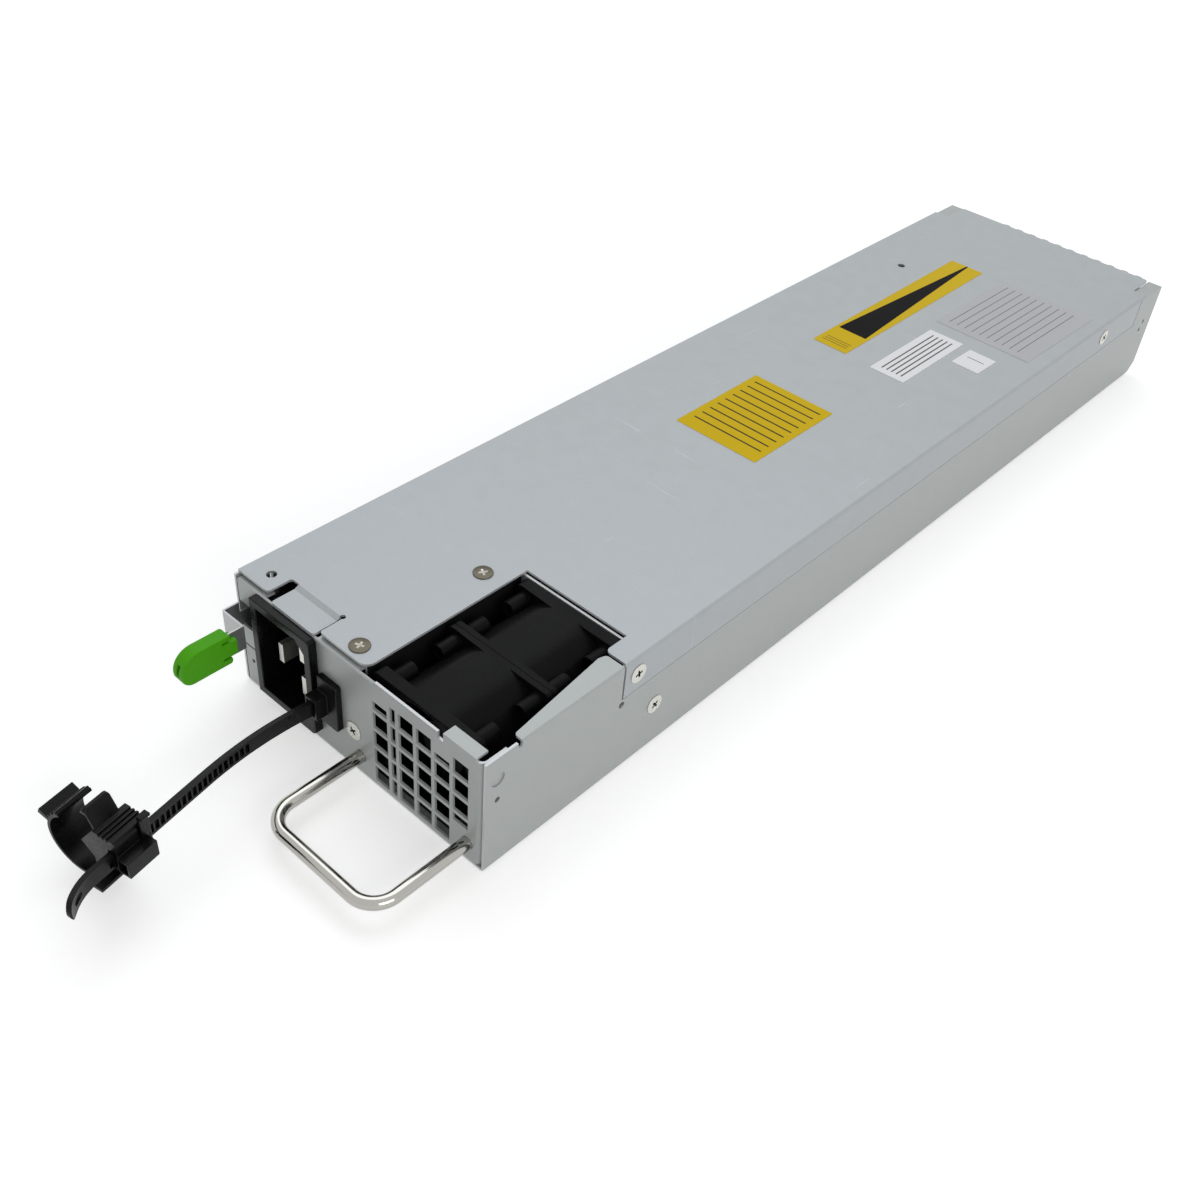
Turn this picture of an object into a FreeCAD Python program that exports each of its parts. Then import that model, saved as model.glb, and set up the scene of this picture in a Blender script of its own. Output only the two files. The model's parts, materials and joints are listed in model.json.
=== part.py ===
import FreeCAD, Part
import math
import os

import Sketcher

# Hot swap server power supply: a 1U drawer case with a twin fan, a mains inlet, a pull handle,
# a sprung release latch and a strap that holds the mains cord.
# X runs across the case, Y from the front panel to the rear, Z up. The origin is the centre of
# the case's underside. Every length below is in millimetres and every angle in degrees.

SIZES = {
    # Case
    "case_width": 104.0, "case_height": 42.0, "case_length": 400.0,
    "sheet": 0.8, "bend_radius": 1.2, "sheet_lap": 1.0, "seam_height": 29.5,
    "screw_hole_radius": 1.7, "clearance": 0.2, "moving_gap": 0.3,
    # Tray
    "wall_flange_start": 13.0, "wall_flange_front": 3.2, "wall_flange_rear": 7.6,
    "wall_slit_width": 0.6, "slit_relief_radius": 1.1, "notch_width": 1.6, "notch_depth": 2.2,
    "left_flange_start": 12.0, "right_flange_start": 53.0, "flange_rear_margin": 20.0,
    "rear_chamfer": 5.0, "rear_ear_width": 6.0, "rear_ear_length": 15.0,
    "clinch_radius": 2.4, "clinch_depth": 0.4, "clinch_setback": 4.4, "clinch_height": 33.9,
    "flange_corner_radius": 1.2, "pilot_radius": 0.9, "front_pilot_height": 26.2,
    "rear_pilot_setback": 391.9, "rear_pilot_height": 27.6,
    "low_pilot_setback": 390.1, "low_pilot_height": 24.2,
    # Cover
    "cover_setback": 1.5, "cover_rear_margin": 1.0,
    "fan_cut_left": -20.6, "fan_cut_rear": 62.5, "fan_cut_right": 18.6, "fan_cut_step": 53.6,
    "cover_corner_radius": 1.6, "fan_cut_radius": 3.2, "tab_corner_radius": 1.0,
    "tab_left": -6.5, "tab_right": 12.2, "tab_root": 8.2, "tab_drop": 0.8, "tab_slope": 1.6,
    "tab_slot_width": 3.4, "tab_slot_end": 10.0, "tab_slit_width": 1.0, "tab_relief_radius": 0.9,
    "pin_hole_radius": 1.6, "front_pin_hole_side": 8.3, "front_pin_hole_setback": 7.0,
    "rear_pin_hole_side": 19.6, "rear_pin_hole_setback": 324.7,
    "nub_count": 11, "nub_first_x": -22.6, "nub_pitch": 6.4, "nub_width": 1.8, "nub_length": 0.8,
    # Front panel
    "panel_bottom": 0.9, "panel_bend_radius": 2.4, "panel_side_gap": 0.5, "panel_side_flange": 9.0,
    "panel_top_flange": 4.0,
    "panel_bottom_flange": 5.0, "grille_step": -15.6, "grille_rise_end": 9.0,
    "grille_tab_left": 11.2, "grille_tab_right": 23.4, "grille_tab_length": 4.2,
    "grille_bar": 1.25, "grille_cell": 5.85, "grille_slim_cell": 2.1, "grille_left": -16.9,
    "grille_bottom": 1.9, "grille_rows": 5, "first_top_cell": 3.1, "fifth_top_cell": 2.3,
    "sixth_low_cell": 2.9, "latch_slot_margin": 0.5,
    "panel_slit_height": 15.0, "panel_slit_width": 0.7, "panel_oval_height": 9.8,
    # Rear panel
    "rear_panel_setback": 6.0, "vent_radius": 2.2, "vent_pitch": 5.6, "vent_rows": 4,
    "vent_first_z": 21.4, "vent_edge": 6.0, "rear_flange": 6.0,
    # Inlet, for a 16 A connector with its long side upright
    "inlet_side_gap": 23.6, "inlet_centre_z": 22.1, "bezel_width": 26.8, "bezel_height": 36.2,
    "bezel_depth": 2.8, "bezel_rim": 2.1, "socket_wall": 1.3, "socket_depth": 18.8,
    "socket_chamfer": 3.4, "inlet_body_depth": 21.0,
    "blade_width": 7.0, "blade_thickness": 2.0, "blade_pitch": 13.0, "blade_tip_depth": 3.6,
    "earth_offset": -5.2, "live_offset": 4.8, "blade_tail": 6.0,
    "inlet_board_sheet": 1.6, "inlet_board_height": 30.0,
    # Pull handle, bent from round wire
    "handle_wire_radius": 2.0, "handle_left": -23.0, "handle_right": 20.6, "handle_height": 7.0,
    "handle_reach": 33.0, "handle_bend_radius": 8.0, "handle_end": 2.2,
    "washer_radius": 2.6, "washer_sheet": 1.0,
    # Twin fan, two 40 mm units back to back
    "fan_size": 40.0, "fan_depth": 29.0, "fan_side_gap": 7.0, "fan_setback": 3.0,
    "fan_bore_radius": 18.9, "fan_flange": 4.0, "fan_seam_flange": 2.0,
    "fan_corner_hole": 16.0, "fan_hole_radius": 1.6,
    "fan_boss_radius": 2.6, "fan_boss_length": 7.0, "fan_corner_radius": 2.0,
    "fan_barrel_radius": 20.6,
    "strut_width": 2.0, "strut_depth": 2.6, "motor_plate_radius": 9.6, "motor_plate": 1.4,
    "hub_radius": 9.8, "hub_wall": 1.1, "hub_depth": 19.0, "hub_nose_chamfer": 1.6,
    "blade_tip_gap": 0.6, "front_blade_count": 5, "rear_blade_count": 7,
    "blade_chord": 15.0, "fan_blade_sheet": 1.1, "blade_root_sweep": 5.4, "blade_tip_sweep": 8.2,
    "blade_camber": 1.3, "hub_boss_radius": 2.4, "hub_boss_depth": 3.0,
    "shaft_radius": 1.0, "running_fit": 0.03, "bearing_radius": 2.4, "bearing_length": 10.0,
    "stator_radius": 6.9, "stator_length": 9.0, "stator_lift": 1.0,
    "magnet_wall": 0.9, "magnet_length": 11.0,
    # Fan bracket
    "divider_gap": 2.4, "divider_start": 2.6, "divider_top_flange": 10.4, "divider_front_flange": 6.4,
    "divider_flange_low": 10.8, "divider_flange_high": 20.0, "ring_plate_gap": 0.2,
    "ring_plate_right": 23.0,
    # Release latch
    "leaf_sheet": 0.6, "leaf_low": 23.1, "leaf_high": 31.6, "leaf_arm_high": 28.0,
    "leaf_root": 73.0, "leaf_reach": 6.3,
    "leaf_return": 9.9, "tang_length": 9.0, "catch_setback": 30.0, "catch_length": 9.0,
    "catch_low": 24.2, "catch_high": 27.2, "catch_reach": 3.2, "catch_window_margin": 1.0,
    "latch_pivot": 70.5, "rivet_radius": 0.8, "rivet_head_radius": 1.2, "rivet_head": 0.9,
    "rivet_spread": 2.5,
    "grip_width": 4.6, "grip_low": 22.5, "grip_high": 33.0, "grip_front": 28.3, "grip_rear": 9.6,
    "grip_ear_setback": 2.0, "grip_ear": 1.9, "grip_ear_slot": 0.7, "grip_ear_slot_length": 3.0,
    "grip_top_nose": 6.4, "grip_low_nose": 3.7, "grip_nose_slot": 1.2, "grip_nose_slot_depth": 3.0,
    # Strap anchor and strap
    "anchor_left": -38.6, "anchor_right": -30.3, "anchor_low": 11.8, "anchor_high": 29.0,
    "anchor_sheet": 2.0, "anchor_foot_radius": 2.3, "anchor_boss_wall": 0.9, "anchor_socket_lean": 0.7,
    "anchor_boss_height": 7.4, "anchor_boss_depth": 4.0, "anchor_socket_depth": 2.5,
    "strap_root": -36.5, "strap_z": 20.0, "strap_thick": 1.5, "strap_width": 5.0,
    "strap_root_turn": 7.0, "strap_yaw": 11.5, "strap_bend_radius": 118.0,
    "strap_straight": 38.7, "tail_radius": 17.0, "tail_turn": 42.0, "tail_tip": 2.4,
    "ladder_pitch": 1.9, "ladder_rung": 0.6, "ladder_rail": 0.9, "ladder_depth": 0.8,
    "ladder_count": 18, "bow_ladder_count": 10,
    "eyelet_length": 3.4, "eyelet_width": 1.9, "eyelet_setback": 3.0,
    # Cord clamp, sizes from the strap's centre line
    "clamp_place": 26.9, "clamp_length": 11.0, "sleeve_left": 5.8, "sleeve_right": 2.2,
    "sleeve_low": 4.1, "sleeve_high": 6.8, "sleeve_bevel": 1.0, "sleeve_clearance": 0.35,
    "wedge_reach": 11.0, "leg_left": 7.2, "leg_right": 4.4, "leg_low": 11.0,
    "block_right": 5.9, "block_low": 3.4, "block_high": 2.0, "block_front": 5.9, "block_rear": 3.8,
    "block_wall": 0.8, "block_pocket_depth": 6.0,
    "finger_top": 7.7, "finger_high": 12.5, "finger_sheet": 1.0, "finger_hook": 1.0,
    "finger_front": 4.9, "finger_rear": 3.0, "finger_corner_radius": 1.2,
    "deck_groove": 0.7, "deck_groove_count": 3,
    "tongue_right": 0.6, "tongue_low": 9.0, "tongue_sheet": 1.2, "tongue_front": 10.2,
    "tongue_rear": 2.0,
    "loop_x": -13.5, "loop_z": -4.5, "loop_radius": 10.3, "loop_wall": 1.1,
    "loop_start_angle": 118.0, "loop_end_angle": 310.0, "loop_lip": 3.4, "loop_lip_angle": 151.0,
    "loop_tooth": 0.5, "loop_tooth_count": 4,
    "lever_sheet": 1.0, "lever_width": 3.0, "lever_high": 10.2, "lever_setback": 0.3,
    "lever_recess": 0.5,
    # Board and what it carries
    "board_sheet": 1.6, "board_gap": 4.6, "board_side_gap": 2.4, "board_front": 66.0,
    "board_rear_margin": 10.0, "insulator_sheet": 0.4, "standoff_radius": 2.6,
    "standoff_inset": 8.0, "component_top": 37.0,
    "bulk_radius": 12.4, "bulk_length": 50.0, "bulk_count": 2, "bulk_y": 132.0,
    "choke_radius": 13.0, "choke_core": 4.0, "pfc_y": 103.0, "emi_y": 89.0, "choke_side": 19.0,
    "x_cap_length": 22.0, "x_cap_width": 9.0, "x_cap_height": 17.0, "x_cap_x": 12.0,
    "sink_base": 3.0, "sink_fin": 1.0, "sink_fin_length": 8.0, "sink_fin_count": 6, "sink_height": 28.0,
    "primary_sink_side": 22.0, "primary_sink_y": 78.0, "primary_sink_length": 100.0,
    "secondary_sink_side": 22.0, "secondary_sink_y": 268.0, "secondary_sink_length": 70.0,
    "bridge_width": 24.0, "bridge_height": 20.0, "bridge_thick": 4.0,
    "transformer_y": 215.0, "transformer_core": 40.0, "transformer_wide": 36.0,
    "transformer_window": 9.0, "winding_margin": 1.2,
    "resonant_y": 262.0, "resonant_size": 18.0,
    "inductor_size": 22.0, "inductor_y": 300.0, "inductor_pitch": 27.0,
    "output_cap_radius": 5.0, "output_cap_height": 20.0, "output_cap_pitch": 11.0,
    "output_cap_count": 7, "output_cap_y": 344.0,
    "control_board_height": 26.0, "control_board_length": 50.0, "control_board_side": 12.5,
    "control_board_y": 262.0,
    "connector_width": 62.0, "connector_depth": 22.0, "connector_height": 11.0,
    "contact_count": 8, "contact_pitch": 7.0, "contact_slot": 5.2,
    "contact_slot_height": 7.6, "contact_sheet": 0.9, "contact_recess": 1.5,
    # Fasteners
    "screw_shank_radius": 1.5, "screw_head_radius": 3.1, "screw_head": 0.7, "screw_length": 4.0,
    "top_screw_gap": 6.0, "top_screw_front": 5.8, "top_screw_rear": 52.0,
    "side_screw_front": 58.7, "side_screw_rear": 347.8, "side_screw_height": 35.8,
    "chassis_screw_setback": 68.3, "chassis_screw_height": 17.2,
    "panel_screw_gap": 3.4, "panel_screw_height": 15.2,
}


class Length:
    """A size that follows the sheet: the expression that gives it and its value today."""

    def __init__(self, text, number):
        self.text = text
        self.number = float(number)

    def joined(self, sign, other, number):
        return Length("(%s %s %s)" % (self.text, sign, other.text), number)

    def __add__(self, other):
        other = as_length(other)
        return self.joined("+", other, self.number + other.number)

    def __sub__(self, other):
        other = as_length(other)
        return self.joined("-", other, self.number - other.number)

    def __mul__(self, other):
        other = as_length(other)
        return self.joined("*", other, self.number * other.number)

    def __truediv__(self, other):
        other = as_length(other)
        return self.joined("/", other, self.number / other.number)

    def __radd__(self, other):
        return as_length(other) + self

    def __rsub__(self, other):
        return as_length(other) - self

    def __rmul__(self, other):
        return as_length(other) * self

    def __neg__(self):
        return as_length(0) - self

    def __float__(self):
        return self.number


def as_length(value):
    if isinstance(value, Length):
        return value
    return Length(repr(float(value)), value)


class Sheet:
    """The spreadsheet of driving sizes, each read by its name."""

    def __init__(self, document):
        self.cells = document.addObject("Spreadsheet::Sheet", "Sizes")
        for row, (name, value) in enumerate(SIZES.items(), start=1):
            self.cells.set("A%d" % row, name)
            self.cells.set("B%d" % row, repr(value))
            self.cells.setAlias("B%d" % row, name)

    def __getattr__(self, name):
        return Length("Sizes." + name, SIZES[name])

    def count(self, name):
        return Length("Sizes." + name, SIZES[name])


doc = FreeCAD.newDocument("server_power_supply")
s = Sheet(doc)
doc.recompute()

# Places that many pieces share
front = -(s.case_length / 2)
rear = s.case_length / 2
side = s.case_width / 2
wall_inside = side - s.sheet
floor_top = s.sheet
cover_under = s.case_height - s.sheet
panel_back = front + s.sheet
fan_x = side - s.fan_side_gap - s.fan_size / 2
fan_z = floor_top + s.fan_size / 2
divider = fan_x - s.fan_size / 2 - s.divider_gap
inlet_x = s.inlet_side_gap - side
tab_left = inlet_x + s.tab_left
tab_right = inlet_x + s.tab_right
fan_cut_left = fan_x + s.fan_cut_left
fan_cut_right = fan_x + s.fan_cut_right
grille_tab_left = fan_x + s.grille_tab_left
grille_tab_right = fan_x + s.grille_tab_right
handle_left = fan_x + s.handle_left
handle_right = fan_x + s.handle_right
anchor_left = fan_x + s.anchor_left
anchor_right = fan_x + s.anchor_right
strap_x = fan_x + s.strap_root
top_screw_x = divider - s.top_screw_gap
panel_screw_x = divider - s.panel_screw_gap


# Sketch and feature helpers

NORMAL_SIGN = {"XY_Plane": 1, "XZ_Plane": -1, "YZ_Plane": 1}


def new_body(name):
    body = doc.addObject("PartDesign::Body", name)
    body.Label = name
    return body


def new_sketch(body, plane, level):
    """A sketch on one of the body's own planes, moved along that plane's axis to a level."""
    support = [item for item in body.Origin.OriginFeatures if item.Role == plane][0]
    sketch = body.newObject("Sketcher::SketchObject", body.Name + "_sketch")
    sketch.AttachmentSupport = [(support, "")]
    sketch.MapMode = "FlatFace"
    offset = level * NORMAL_SIGN[plane]
    sketch.AttachmentOffset = FreeCAD.Placement(
        FreeCAD.Vector(0, 0, offset.number), FreeCAD.Rotation())
    sketch.setExpression("AttachmentOffset.Base.z", offset.text)
    return sketch


def pin_point(sketch, edge, corner, x, y):
    """Ties one point of an edge to a place worked out from the sheet."""
    for kind, value in (("DistanceX", x), ("DistanceY", y)):
        index = sketch.addConstraint(Sketcher.Constraint(kind, -1, 1, edge, corner, value.number))
        sketch.setExpression("Constraints[%d]" % index, value.text)


def draw_polygon(sketch, points):
    first = sketch.GeometryCount
    count = len(points)
    corners = [FreeCAD.Vector(x.number, y.number, 0) for x, y in points]
    for index in range(count):
        line = Part.LineSegment(corners[index], corners[(index + 1) % count])
        sketch.addGeometry(line, False)
    for index, (x, y) in enumerate(points):
        following = first + (index + 1) % count
        sketch.addConstraint(Sketcher.Constraint("Coincident", first + index, 2, following, 1))
        pin_point(sketch, first + index, 1, x, y)


def draw_circle(sketch, x, y, radius):
    centre = FreeCAD.Vector(x.number, y.number, 0)
    edge = sketch.addGeometry(Part.Circle(centre, FreeCAD.Vector(0, 0, 1), radius.number), False)
    pin_point(sketch, edge, 3, x, y)
    index = sketch.addConstraint(Sketcher.Constraint("Radius", edge, radius.number))
    sketch.setExpression("Constraints[%d]" % index, radius.text)


def box_outline(left, low, right, high):
    return polygon((left, low), (right, low), (right, high), (left, high))


def polygon(*points):
    return [(as_length(x), as_length(y)) for x, y in points]


def circle(x, y, radius):
    return (as_length(x), as_length(y), as_length(radius))


def extrude(body, plane, start, end, outlines, kind):
    """Adds or cuts the outlines between two levels along the plane's axis."""
    start = as_length(start)
    end = as_length(end)
    sketch = new_sketch(body, plane, start)
    for outline in outlines:
        if isinstance(outline, tuple):
            draw_circle(sketch, *outline)
        else:
            draw_polygon(sketch, outline)
    feature = body.newObject("PartDesign::" + kind, body.Name + "_" + kind)
    feature.Profile = sketch
    feature.setExpression("Length", (end - start).text)
    upwards = NORMAL_SIGN[plane] > 0
    feature.Reversed = upwards if kind == "Pocket" else not upwards
    doc.recompute()
    return feature


def add(body, plane, start, end, *outlines):
    return extrude(body, plane, start, end, outlines, "Pad")


def cut(body, plane, start, end, *outlines):
    before = body.Shape.Volume
    feature = extrude(body, plane, start, end, outlines, "Pocket")
    if body.Shape.Volume >= before:
        raise ValueError("a cut in %s takes nothing away: %s" % (body.Label, feature.State))
    return feature


def edge_direction(edge):
    """The axis that a straight edge runs along, or "round" for a closed edge."""
    ends = [vertex.Point for vertex in edge.Vertexes]
    if len(ends) < 2:
        return "round"
    step = ends[1] - ends[0]
    for axis in "xyz":
        if abs(abs(getattr(step, axis)) - step.Length) < 1e-6:
            return axis
    return "other"


def soften(body, kind, amount, directions, test):
    """Fillets or chamfers the edges that run in the given directions and pass the test."""
    base = body.Tip
    names = []
    for index, edge in enumerate(base.Shape.Edges, start=1):
        if edge_direction(edge) in directions and all(test(v.Point) for v in edge.Vertexes):
            names.append("Edge%d" % index)
    if not names:
        raise ValueError("no edge of %s to soften" % body.Label)
    feature = body.newObject("PartDesign::" + kind, body.Name + "_" + kind)
    feature.Base = (base, names)
    feature.setExpression("Radius" if kind == "Fillet" else "Size", as_length(amount).text)
    doc.recompute()
    if "Invalid" in feature.State:
        raise ValueError("%s of %s does not fit" % (kind, body.Label))
    return feature


def origin_axis(body, role):
    return [item for item in body.Origin.OriginFeatures if item.Role == role][0]


def repeat_along(body, feature, role, pitch, count_name, backwards):
    """Repeats a feature along one of the body's own axes."""
    pattern = body.newObject("PartDesign::LinearPattern", body.Name + "_row")
    pattern.Originals = [feature]
    pattern.Direction = (origin_axis(body, role), [""])
    pattern.Reversed = backwards
    pattern.setExpression("Length", (pitch * (s.count(count_name) - 1)).text)
    pattern.setExpression("Occurrences", "Sizes." + count_name)
    body.Tip = pattern
    doc.recompute()
    return pattern


def near(value, target):
    return abs(value - float(target)) < 0.01


def place(item, x=0, y=0, z=0):
    """Moves an object to a place that follows the sheet."""
    values = [as_length(value) for value in (x, y, z)]
    item.Placement.Base = FreeCAD.Vector(*[value.number for value in values])
    for axis, value in zip("xyz", values):
        item.setExpression("Placement.Base." + axis, value.text)


def cuboid(low_x, low_y, low_z, high_x, high_y, high_z):
    item = doc.addObject("Part::Box", "box")
    item.setExpression("Length", (as_length(high_x) - low_x).text)
    item.setExpression("Width", (as_length(high_y) - low_y).text)
    item.setExpression("Height", (as_length(high_z) - low_z).text)
    place(item, low_x, low_y, low_z)
    return item


TURN_TO = {
    "z": FreeCAD.Rotation(),
    "y": FreeCAD.Rotation(FreeCAD.Vector(1, 0, 0), -90),
    "x": FreeCAD.Rotation(FreeCAD.Vector(0, 1, 0), 90),
}


def cylinder(radius, height, x, y, z, axis="z"):
    item = doc.addObject("Part::Cylinder", "cylinder")
    item.setExpression("Radius", as_length(radius).text)
    item.setExpression("Height", as_length(height).text)
    item.Placement.Rotation = TURN_TO[axis]
    place(item, x, y, z)
    return item


def joined(name, items):
    item = doc.addObject("Part::MultiFuse", name)
    item.Shapes = items
    item.Label = name
    item.Refine = True
    return item


def carved(name, base, tool):
    item = doc.addObject("Part::Cut", name)
    item.Base = base
    item.Tool = tool
    item.Label = name
    return item


def group(name, items):
    item = doc.addObject("Part::Compound", name)
    item.Links = items
    item.Label = name
    return item


# Chassis tray: one sheet folded into a floor and two walls. Behind the slits the walls' upper
# edges are set in by one sheet, so the cover's flanges lie flush over them.

def chassis_tray():
    body = new_body("chassis_tray")
    lap_low = s.seam_height - s.sheet_lap
    set_in = wall_inside - s.sheet
    add(body, "XZ_Plane", front, rear, polygon(
        (-side, 0), (side, 0), (side, s.seam_height - s.clearance),
        (wall_inside, s.seam_height - s.clearance), (wall_inside, floor_top),
        (-wall_inside, floor_top), (-wall_inside, s.seam_height - s.clearance),
        (-side, s.seam_height - s.clearance)))
    soften(body, "Fillet", s.bend_radius, ["y"],
           lambda p: near(abs(p.x), side) and near(p.z, 0))
    for sign, start in ((1, s.right_flange_start), (-1, s.left_flange_start)):
        wall_low_x, wall_high_x = sorted((wall_inside * sign, side * sign), key=float)
        lap_low_x, lap_high_x = sorted((set_in * sign, wall_inside * sign), key=float)
        top = s.case_height if sign > 0 else cover_under
        add(body, "XY_Plane", lap_low, top,
            box_outline(wall_low_x, front, wall_high_x, front + start - s.wall_slit_width))
        add(body, "XY_Plane", lap_low, cover_under,
            box_outline(lap_low_x, front + start, lap_high_x, rear - s.flange_rear_margin))
        add(body, "XY_Plane", lap_low, cover_under,
            box_outline(wall_low_x, rear - s.flange_rear_margin + s.wall_slit_width,
                        wall_high_x, rear))
        ear_x, ear_wall = sorted((side * sign, (side - s.rear_ear_width) * sign), key=float)
        add(body, "XY_Plane", cover_under - s.sheet, cover_under,
            box_outline(ear_x, rear - s.rear_ear_length, ear_wall, rear))
    add(body, "XY_Plane", cover_under, s.case_height, polygon(
        (side, front + s.wall_flange_start), (side, front + s.right_flange_start - s.wall_slit_width),
        (side - s.wall_flange_rear + s.sheet, front + s.right_flange_start - s.wall_slit_width),
        (side - s.wall_flange_rear, front + s.right_flange_start - s.wall_flange_front),
        (side - s.wall_flange_front, front + s.wall_flange_start)))
    soften(body, "Fillet", s.flange_corner_radius, ["z"],
           lambda p: p.z > float(cover_under) - 0.01
           and float(side - s.wall_flange_rear) - 0.01 < p.x < float(side - s.wall_flange_front) + 0.01)
    cut(body, "YZ_Plane", wall_inside - s.clearance, side,
        box_outline(front + s.wall_flange_start - s.notch_width, s.case_height - s.notch_depth,
                    front + s.wall_flange_start, s.case_height),
        circle(front + s.right_flange_start - s.wall_slit_width / 2,
               s.seam_height - s.sheet_lap - s.slit_relief_radius, s.slit_relief_radius))
    soften(body, "Fillet", s.bend_radius * 0.6, ["y"],
           lambda p: near(p.x, side) and near(p.z, s.case_height)
           and p.y > float(front + s.wall_flange_start) - 0.1)
    cut(body, "YZ_Plane", side - s.clinch_depth, side,
        circle(front + s.clinch_setback, s.clinch_height, s.clinch_radius))
    cut(body, "YZ_Plane", wall_inside, side,
        circle(front + s.clinch_setback, s.front_pilot_height, s.pilot_radius),
        circle(front + s.rear_pilot_setback, s.rear_pilot_height, s.pilot_radius),
        circle(front + s.low_pilot_setback, s.low_pilot_height, s.pilot_radius))
    screw_places = [circle(front + s.chassis_screw_setback, s.chassis_screw_height,
                           s.screw_hole_radius)]
    for setback in (s.side_screw_front, s.side_screw_rear):
        screw_places.append(circle(front + setback, s.side_screw_height, s.screw_hole_radius))
    cut(body, "YZ_Plane", -side, side, *screw_places)
    cut(body, "YZ_Plane", -side, -wall_inside, box_outline(
        front + s.catch_setback - s.catch_length / 2 - s.catch_window_margin,
        s.catch_low - s.catch_window_margin,
        front + s.catch_setback + s.catch_length / 2 + s.catch_window_margin,
        s.catch_high + s.catch_window_margin))
    spread = s.rivet_spread / 2
    middle = (s.leaf_low + s.leaf_arm_high) / 2
    for height in (middle - spread, middle + spread):
        cut(body, "YZ_Plane", -side, -wall_inside, circle(front + s.latch_pivot, height, s.rivet_radius))
    for sign in (-1, 1):
        low_x, high_x = sorted(((side - s.bend_radius * 2) * sign, side * sign), key=float)
        cut(body, "YZ_Plane", low_x, high_x,
            polygon((rear - s.rear_chamfer, 0), (rear, 0), (rear, s.rear_chamfer)))
    return body


# Top cover: one sheet with side flanges. It leaves the fan open, and a lowered tab at the front
# presses on the inlet.

def top_cover():
    body = new_body("top_cover")
    start = front + s.cover_setback
    end = rear - s.cover_rear_margin
    ear_start = rear - s.rear_ear_length - s.clearance
    ear_x = side - s.rear_ear_width - s.clearance
    slot_left = tab_left - s.tab_slot_width
    slit_right = tab_right + s.tab_slit_width
    add(body, "XY_Plane", cover_under, s.case_height, polygon(
        (-side, start), (slot_left, start), (slot_left, front + s.tab_slot_end),
        (tab_left, front + s.tab_slot_end), (tab_left, front + s.tab_root + s.tab_slope),
        (tab_right, front + s.tab_root + s.tab_slope), (tab_right, front + s.tab_slot_end),
        (slit_right, front + s.tab_slot_end), (slit_right, start),
        (fan_cut_left, start), (fan_cut_left, front + s.fan_cut_rear),
        (fan_cut_right, front + s.fan_cut_rear), (fan_cut_right, front + s.fan_cut_step),
        (side, front + s.fan_cut_step), (side, ear_start), (ear_x, ear_start),
        (ear_x, end), (-ear_x, end), (-ear_x, ear_start), (-side, ear_start)))
    for sign, begin in ((1, s.right_flange_start + s.clearance), (-1, s.left_flange_start)):
        low_x, high_x = sorted((wall_inside * sign, side * sign), key=float)
        add(body, "XY_Plane", s.seam_height, s.case_height,
            box_outline(low_x, front + begin, high_x, rear - s.flange_rear_margin))
    add(body, "YZ_Plane", tab_left, tab_right, polygon(
        (front, cover_under - s.tab_drop), (front + s.tab_root, cover_under - s.tab_drop),
        (front + s.tab_root + s.tab_slope, cover_under),
        (front + s.tab_root + s.tab_slope, s.case_height),
        (front + s.tab_root, s.case_height - s.tab_drop), (front, s.case_height - s.tab_drop)))
    soften(body, "Fillet", s.bend_radius, ["y"],
           lambda p: near(abs(p.x), side) and near(p.z, s.case_height)
           and p.y > float(front + s.left_flange_start) - 0.1)
    soften(body, "Fillet", s.fan_cut_radius, ["z"],
           lambda p: near(p.x, fan_cut_left) and near(p.y, start))
    soften(body, "Fillet", s.tab_corner_radius, ["z"],
           lambda p: (near(p.y, start) and (near(p.x, slot_left) or near(p.x, slit_right)))
           or (near(p.y, front) and (near(p.x, tab_left) or near(p.x, tab_right)))
           or (near(p.y, front + s.tab_slot_end) and near(p.x, slot_left)))
    soften(body, "Fillet", s.cover_corner_radius, ["z"],
           lambda p: (near(p.x, fan_cut_right) and near(p.y, front + s.fan_cut_step))
           or (near(abs(p.x), ear_x) and near(p.y, end)))
    holes = [circle(s.front_pin_hole_side - side, front + s.front_pin_hole_setback, s.pin_hole_radius),
             circle(s.rear_pin_hole_side - side, front + s.rear_pin_hole_setback, s.pin_hole_radius),
             circle(slit_right - s.tab_slit_width / 2, front + s.tab_slot_end, s.tab_relief_radius)]
    for setback in (s.top_screw_front, s.top_screw_rear):
        holes.append(circle(top_screw_x, front + setback, s.screw_hole_radius))
    cut(body, "XY_Plane", cover_under, s.case_height, *holes)
    cut(body, "YZ_Plane", -side, side,
        circle(front + s.side_screw_front, s.side_screw_height, s.screw_hole_radius),
        circle(front + s.side_screw_rear, s.side_screw_height, s.screw_hole_radius))
    nubs = []
    for index in range(int(SIZES["nub_count"])):
        middle = s.nub_first_x + s.nub_pitch * index
        nubs.append(polygon((middle - s.nub_width, end), (middle + s.nub_width, end),
                            (middle + s.nub_width / 2, end + s.nub_length),
                            (middle - s.nub_width / 2, end + s.nub_length)))
    add(body, "XY_Plane", cover_under, s.case_height, *nubs)
    return body


# Front panel: a folded plate with the fan grille, the inlet's window and a slot for the latch.

def grille_columns():
    """Six columns of five openings. A slim column and four short cells miss the panel's folds."""
    columns = []
    left = fan_x + s.grille_left
    for column in range(6):
        width = s.grille_slim_cell if column == 1 else s.grille_cell
        cells = []
        for row in range(int(SIZES["grille_rows"])):
            low = s.grille_bottom + (s.grille_cell + s.grille_bar) * row
            high = low + s.grille_cell
            top_row = row == int(SIZES["grille_rows"]) - 1
            if column == 0 and top_row:
                high = low + s.first_top_cell
            if column == 4 and top_row:
                high = low + s.fifth_top_cell
            if column == 5 and row == 1:
                low = high - s.sixth_low_cell
            if column == 5 and row == 0:
                continue
            cells.append(box_outline(left, low, left + width, high))
        columns.append(cells)
        left = left + width + s.grille_bar
    return columns


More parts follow.
